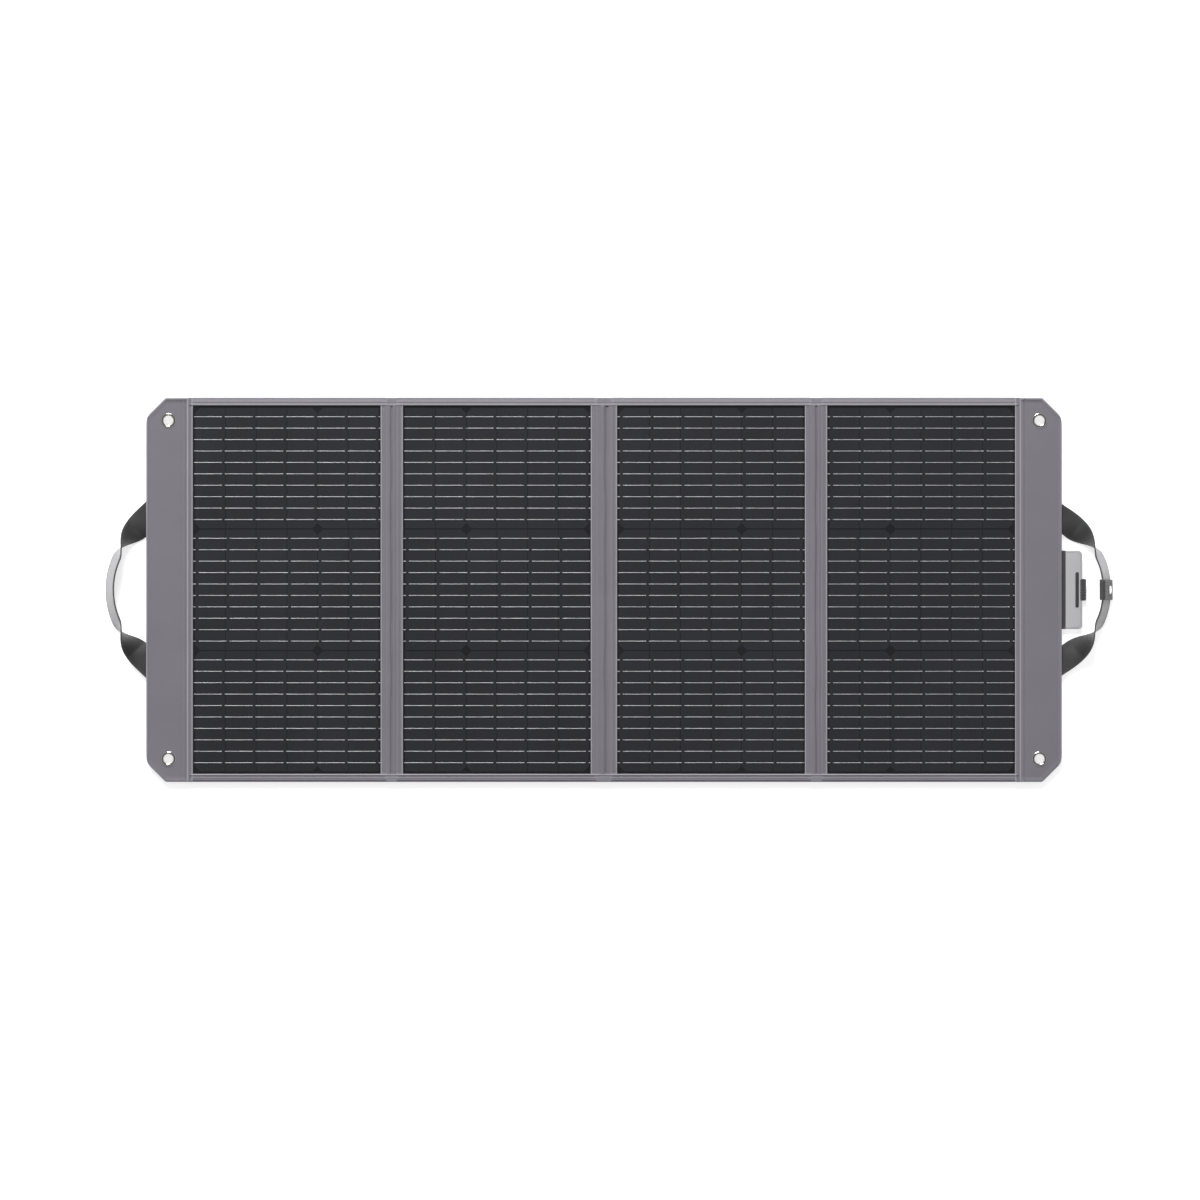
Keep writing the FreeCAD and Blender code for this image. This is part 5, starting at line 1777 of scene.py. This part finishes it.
def limiter_strap(name, panel, body):
    """The strap that stops the stand, built folded between stand and back as it lies at rest."""
    low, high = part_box(f"stand_strap_{name}")
    hinge = Vector(JOINTS[f"stand_{name}_open"]["pos_m"])
    reach = 150 * MM
    top, bottom = high.z - 0.1 * MM, low.z + 0.1 * MM
    rows, columns = 44, 8
    thick = 1.1 * MM
    width = high.x - low.x
    centre = (low.x + high.x) / 2
    opening = math.radians(JOINTS[f"stand_{name}_open"]["range_deg"][1])
    vertices, uvs = [], []

    def share_of(value):
        """The place between 0 and 1 where a smoothstep reaches a value."""
        return 0.5 - math.sin(math.asin(1 - 2 * value) / 3)

    for face in (1, -1):
        for k in range(rows + 1):
            value = k / rows
            z = top + (bottom - top) * share_of(value)
            sag = 3 * MM * math.sin(math.pi * value)
            y = hinge.y - reach - sag
            for c in range(columns + 1):
                x = centre - width / 2 + width * c / columns
                vertices.append((x, y + face * thick / 2, z))
                uvs.append((value * reach * opening, x))
    faces = slab_faces(rows, columns)
    strap = face_outwards(finish_mesh(f"limiter_{name}", vertices, faces, [WEBBING], uvs, None, 70))
    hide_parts(f"stand_strap_{name}")
    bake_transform(strap)
    y = hinge.y - reach
    ends = ((panel, high.z - 0.55 * MM, BACK_LOW), (body, low.z - 0.3 * MM, low.z + 0.35 * MM))
    for owner, z0, z1 in ends:
        patch = plate(
            f"strap_end_{name}_{owner}", (centre - width / 2, y + 1 * MM), (centre + width / 2, y + 27 * MM),
            z0, z1, WEBBING, 1.5 * MM, 0.3 * MM, 0.0, 4 * MM, ends=(),
        )
        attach(patch, owner)
        z = z0 - 0.1 * MM if owner == panel else z1 + 0.1 * MM
        x0, x1, y0, y1 = centre - 9 * MM, centre + 9 * MM, y + 5 * MM, y + 23 * MM
        sew_path(owner, [(x0, y0), (x1, y0), (x1, y1), (x0, y1), (x0, y0), (x1, y1)], z)
        sew_path(owner, [(x1, y0), (x0, y1)], z)


# ---------------------------------------------------------------- cable pocket

def pocket():
    """Fabric pocket on the back of the left panel, closed by a zip along its side wall."""
    low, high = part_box("cable_pocket")
    wall = 0.8 * MM
    us = ticks(low.x, high.x, [low.x, high.x], 5 * MM, FINE + (8,))
    vs = ticks(low.y, high.y, [low.y, high.y], 5 * MM, FINE + (8,))
    corner = 5 * MM

    def place(u, v):
        pull = corner_pull(np.minimum(u - low.x, high.x - u), corner)
        tall = high.y - low.y
        return u, low.y + (v - low.y) * (tall - pull) / tall

    def inset_of(x, y):
        return np.clip(np.minimum(np.minimum(x - low.x, high.x - x), high.y - y), 0, None)

    def outside(x, y):
        d = inset_of(x, y)
        drop = (1 - roll(d, 3.2 * MM)) * (high.z - 0.8 * MM)
        lip = 0.5 * MM * (1 - roll(np.clip(y - low.y, 0, None), 1.4 * MM))
        return low.z + 0.04 * MM * (1 + ripple(x * 0.8 + y, 1.0, 0.05)) * roll(d, 8 * MM) + drop + lip

    def inside_face(x, y):
        lift = (1 - roll(inset_of(x, y), 3.2 * MM)) * 0.2 * MM
        return np.minimum(outside(x, y) + wall, high.z) + lift

    shell = grid_piece("pocket_cloth", us, vs, place, inside_face, outside, STAND)
    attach(shell, "panel_1")
    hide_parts("cable_pocket")
    inset = 5 * MM
    x0, x1, y0, y1 = low.x + inset, high.x - inset, low.y + 3 * MM, high.y - inset
    sew_path("panel_1", [(x0, y0), (x0, y1), (x1, y1), (x1, y0)], 0.1 * MM)

    tape_low, tape_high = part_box("zip_tape")
    middle = (tape_low.z + tape_high.z) / 2
    slit = 0.5 * MM
    tapes = []
    halves = (("lower", tape_low.z, middle - slit), ("upper", middle + slit, tape_high.z + 0.6 * MM))
    for part, z0, z1 in halves:
        tapes.append(plate_upright(f"tape_{part}", tape_low.x, tape_high.x, z0, z1, tape_low.y, 0.7 * MM))
    whole = join("zip_tapes", tapes)
    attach(whole, "panel_1")
    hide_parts("zip_tape")

    vertices, edges = [], []
    for shift, z in ((0, middle - 0.55 * MM), (0.9 * MM, middle + 0.55 * MM)):
        start = len(vertices)
        y = tape_low.y - 0.1 * MM
        vertices += [(tape_low.x + shift, y, z), (tape_high.x - 1 * MM + shift, y, z)]
        edges.append((start, start + 1))
    values = {
        "Pitch": 1.8 * MM,
        "Width": 1.1 * MM,
        "Thickness": 1.4 * MM,
        "Length": 0.85 * MM,
        "Material": PLASTIC,
    }
    teeth = grow("zip_chain", TEETH, vertices, edges, values)
    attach(teeth, "panel_1")
    slider(middle)


def plate_upright(name, x0, x1, z0, z1, y, thick):
    """A strip of tape standing on edge."""
    columns = max(2, int((x1 - x0) / (4 * MM)))
    rows = 3
    vertices, uvs = [], []
    for face in (0, 1):
        for i in range(columns + 1):
            for j in range(rows + 1):
                x = x0 + (x1 - x0) * i / columns
                z = z0 + (z1 - z0) * j / rows
                vertices.append((x, y + 0.1 * MM + face * thick, z))
                uvs.append((x, z))
    return face_outwards(finish_mesh(name, vertices, slab_faces(columns, rows), [TRIM], uvs))


def rounded_points(count, centre, half, powers):
    """Points round a rounded oblong: a circle whose cosine and sine are raised to powers."""
    points = []
    for k in range(count):
        angle = 2 * math.pi * k / count
        c, s = math.cos(angle), math.sin(angle)
        points.append((
            centre[0] + half[0] * math.copysign(abs(c) ** powers[0], c),
            centre[1] + half[1] * math.copysign(abs(s) ** powers[1], s),
        ))
    return points


def slider(middle):
    """The zip's slider: two plates with rounded ends round the teeth, and a pull with a window in it."""
    low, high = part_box("zip_slider")
    parts = []
    centre = (low.x + high.x) / 2
    half = ((high.x - low.x) / 2, (high.z - low.z) / 2)
    for y0, y1 in ((low.y - 0.2 * MM, low.y + 0.85 * MM), (high.y - 0.9 * MM, high.y + 0.1 * MM)):
        ring = []
        for x, z in rounded_points(28, (centre, middle), half, (0.45, 0.45)):
            taper = 0.82 if x > centre else 1.0
            ring.append((x, middle + (z - middle) * taper))
        layers = ((y0, 0.9), (y0 + 0.25 * MM, 1.0), (y1 - 0.25 * MM, 1.0), (y1, 0.9))
        vertices = []
        for y, share in layers:
            vertices += [(centre + (x - centre) * share, y, middle + (z - middle) * share) for x, z in ring]
        faces = loft_faces(len(layers), len(ring))
        parts.append(face_outwards(finish_mesh(f"slider_plate_{len(parts)}", vertices, faces, [DARK_METAL])))

    # the pull hangs along the tape in front of the outer plate
    x0, x1 = low.x + 3 * MM, low.x + 21 * MM
    centre = (x0 + x1) / 2
    pull = rounded_points(36, (centre, middle), ((x1 - x0) / 2, 1.9 * MM), (0.5, 0.6))
    window = [(centre + (x - centre) * 0.72, middle + (z - middle) * 0.45) for x, z in pull]
    y0, y1 = low.y - 1.3 * MM, low.y - 0.35 * MM
    vertices = [(x, y0, z) for x, z in pull] + [(x, y0, z) for x, z in window]
    vertices += [(x, y1, z) for x, z in window] + [(x, y1, z) for x, z in pull]
    faces = loft_faces(4, len(pull), looped=True)
    parts.append(face_outwards(finish_mesh("slider_pull", vertices, faces, [DARK_METAL])))
    whole = join("zip_runner", parts)
    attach(whole, "zip_slider")
    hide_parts("zip_slider")


# ---------------------------------------------------------------- CAD pieces that stay

def dress_cad():
    """Better finishes for the CAD pieces that show as they are."""
    finishes = {
        "junction_box": PLASTIC,
        "junction_lid": PLASTIC,
        "cable_gland": PLASTIC,
        "catch_plate": STEEL,
    }
    for number in PANELS:
        finishes[f"cell_wafers_{number}"] = CELL
        finishes[f"front_film_{number}"] = FILM
        finishes[f"core_board_{number}"] = BOARD
    for name in ("left", "right"):
        finishes[f"flap_board_{name}"] = BOARD
    for node, material in finishes.items():
        thing = frame["nodes"][node]
        for place in thing.material_slots:
            place.material = material
        if not thing.material_slots:
            thing.data.materials.append(material)


# ---------------------------------------------------------------- studio

def area_light(name, place, size, power):
    """A square lamp that looks at the middle of the frame."""
    light = bpy.data.lights.new(name, "AREA")
    light.shape = "SQUARE"
    light.size = size
    light.energy = power
    thing = bpy.data.objects.new(name, light)
    thing.location = place
    thing.rotation_euler = (-Vector(place)).to_track_quat("-Z", "Y").to_euler()
    bpy.context.scene.collection.objects.link(thing)


def see_through(material, shader):
    """Clears a one-sided surface where it is seen from behind."""
    tree = material.node_tree
    clear = tree.nodes.new("ShaderNodeBsdfTransparent")
    side = tree.nodes.new("ShaderNodeNewGeometry")
    mix = tree.nodes.new("ShaderNodeMixShader")
    link(tree, side.outputs["Backfacing"], mix.inputs[0])
    link(tree, shader.outputs[0], mix.inputs[1])
    link(tree, clear.outputs[0], mix.inputs[2])
    end = next(node for node in tree.nodes if node.type == "OUTPUT_MATERIAL")
    link(tree, mix.outputs[0], end.inputs["Surface"])


def studio():
    """A pale glowing floor, a broad soft key from beyond the upper left, a graded sky and a long lens."""
    mesh = bpy.data.meshes.new("floor")
    reach, depth = 40.0, -0.5 * MM
    corners = [(-reach, -reach), (reach, -reach), (reach, reach), (-reach, reach)]
    mesh.from_pydata([(x, y, depth) for x, y in corners], [], [(0, 1, 2, 3)])
    floor = bpy.data.objects.new("floor", mesh)
    bpy.context.scene.collection.objects.link(floor)
    material, _, shader = new_material("floor_paper", 0.9)
    shader.inputs["Base Color"].default_value = (0.9, 0.9, 0.9, 1)
    shader.inputs["Emission Color"].default_value = (1, 1, 1, 1)
    shader.inputs["Emission Strength"].default_value = 0.62
    see_through(material, shader)
    mesh.materials.append(material)

    area_light("key", (-1.1, 5.4, 4.5), 3.0, 620.0)
    world = bpy.data.worlds.new("studio")
    bpy.context.scene.world = world
    world.use_nodes = True
    tree = world.node_tree
    sky = tree.nodes["Background"]
    direction = tree.nodes.new("ShaderNodeTexCoord").outputs["Generated"]
    height = tree.nodes.new("ShaderNodeSeparateXYZ")
    link(tree, direction, height.inputs[0])
    parts = []
    sky.inputs["Color"].default_value = (1, 1, 1, 1)
    # the first brightens it upwards from the horizon, the second takes that away again overhead
    for limits in ((0.1, 0.45, 0.1, 0.5), (0.86, 0.97, 0.0, -0.46)):
        glow = tree.nodes.new("ShaderNodeMapRange")
        glow.interpolation_type = "SMOOTHSTEP"
        for label, value in zip(("From Min", "From Max", "To Min", "To Max"), limits):
            glow.inputs[label].default_value = value
        link(tree, height.outputs["Z"], glow.inputs["Value"])
        parts.append(glow.outputs[0])
    link(tree, math_node(tree, "ADD", *parts), sky.inputs["Strength"])

    camera = bpy.data.cameras.new("camera")
    camera.sensor_width = 36.0
    camera.lens = 100.0
    camera.clip_end = 100.0
    view_wide = 1.8156  # of the frame across the photo, at the cells' height
    thing = bpy.data.objects.new("camera", camera)
    away = view_wide * camera.lens / camera.sensor_width
    thing.location = (-0.006, -0.0155, away + FRONT)
    thing.rotation_euler = (0, 0, 0)
    bpy.context.scene.collection.objects.link(thing)
    bpy.context.scene.camera = thing
    bpy.context.scene.view_settings.view_transform = "Standard"


studio()
dress_cad()
front_covers()
back_covers()
fold_cloth()
ribbons()
grommets()
handles()
grip()
closure()
kickstands()
pocket()
sew_all()
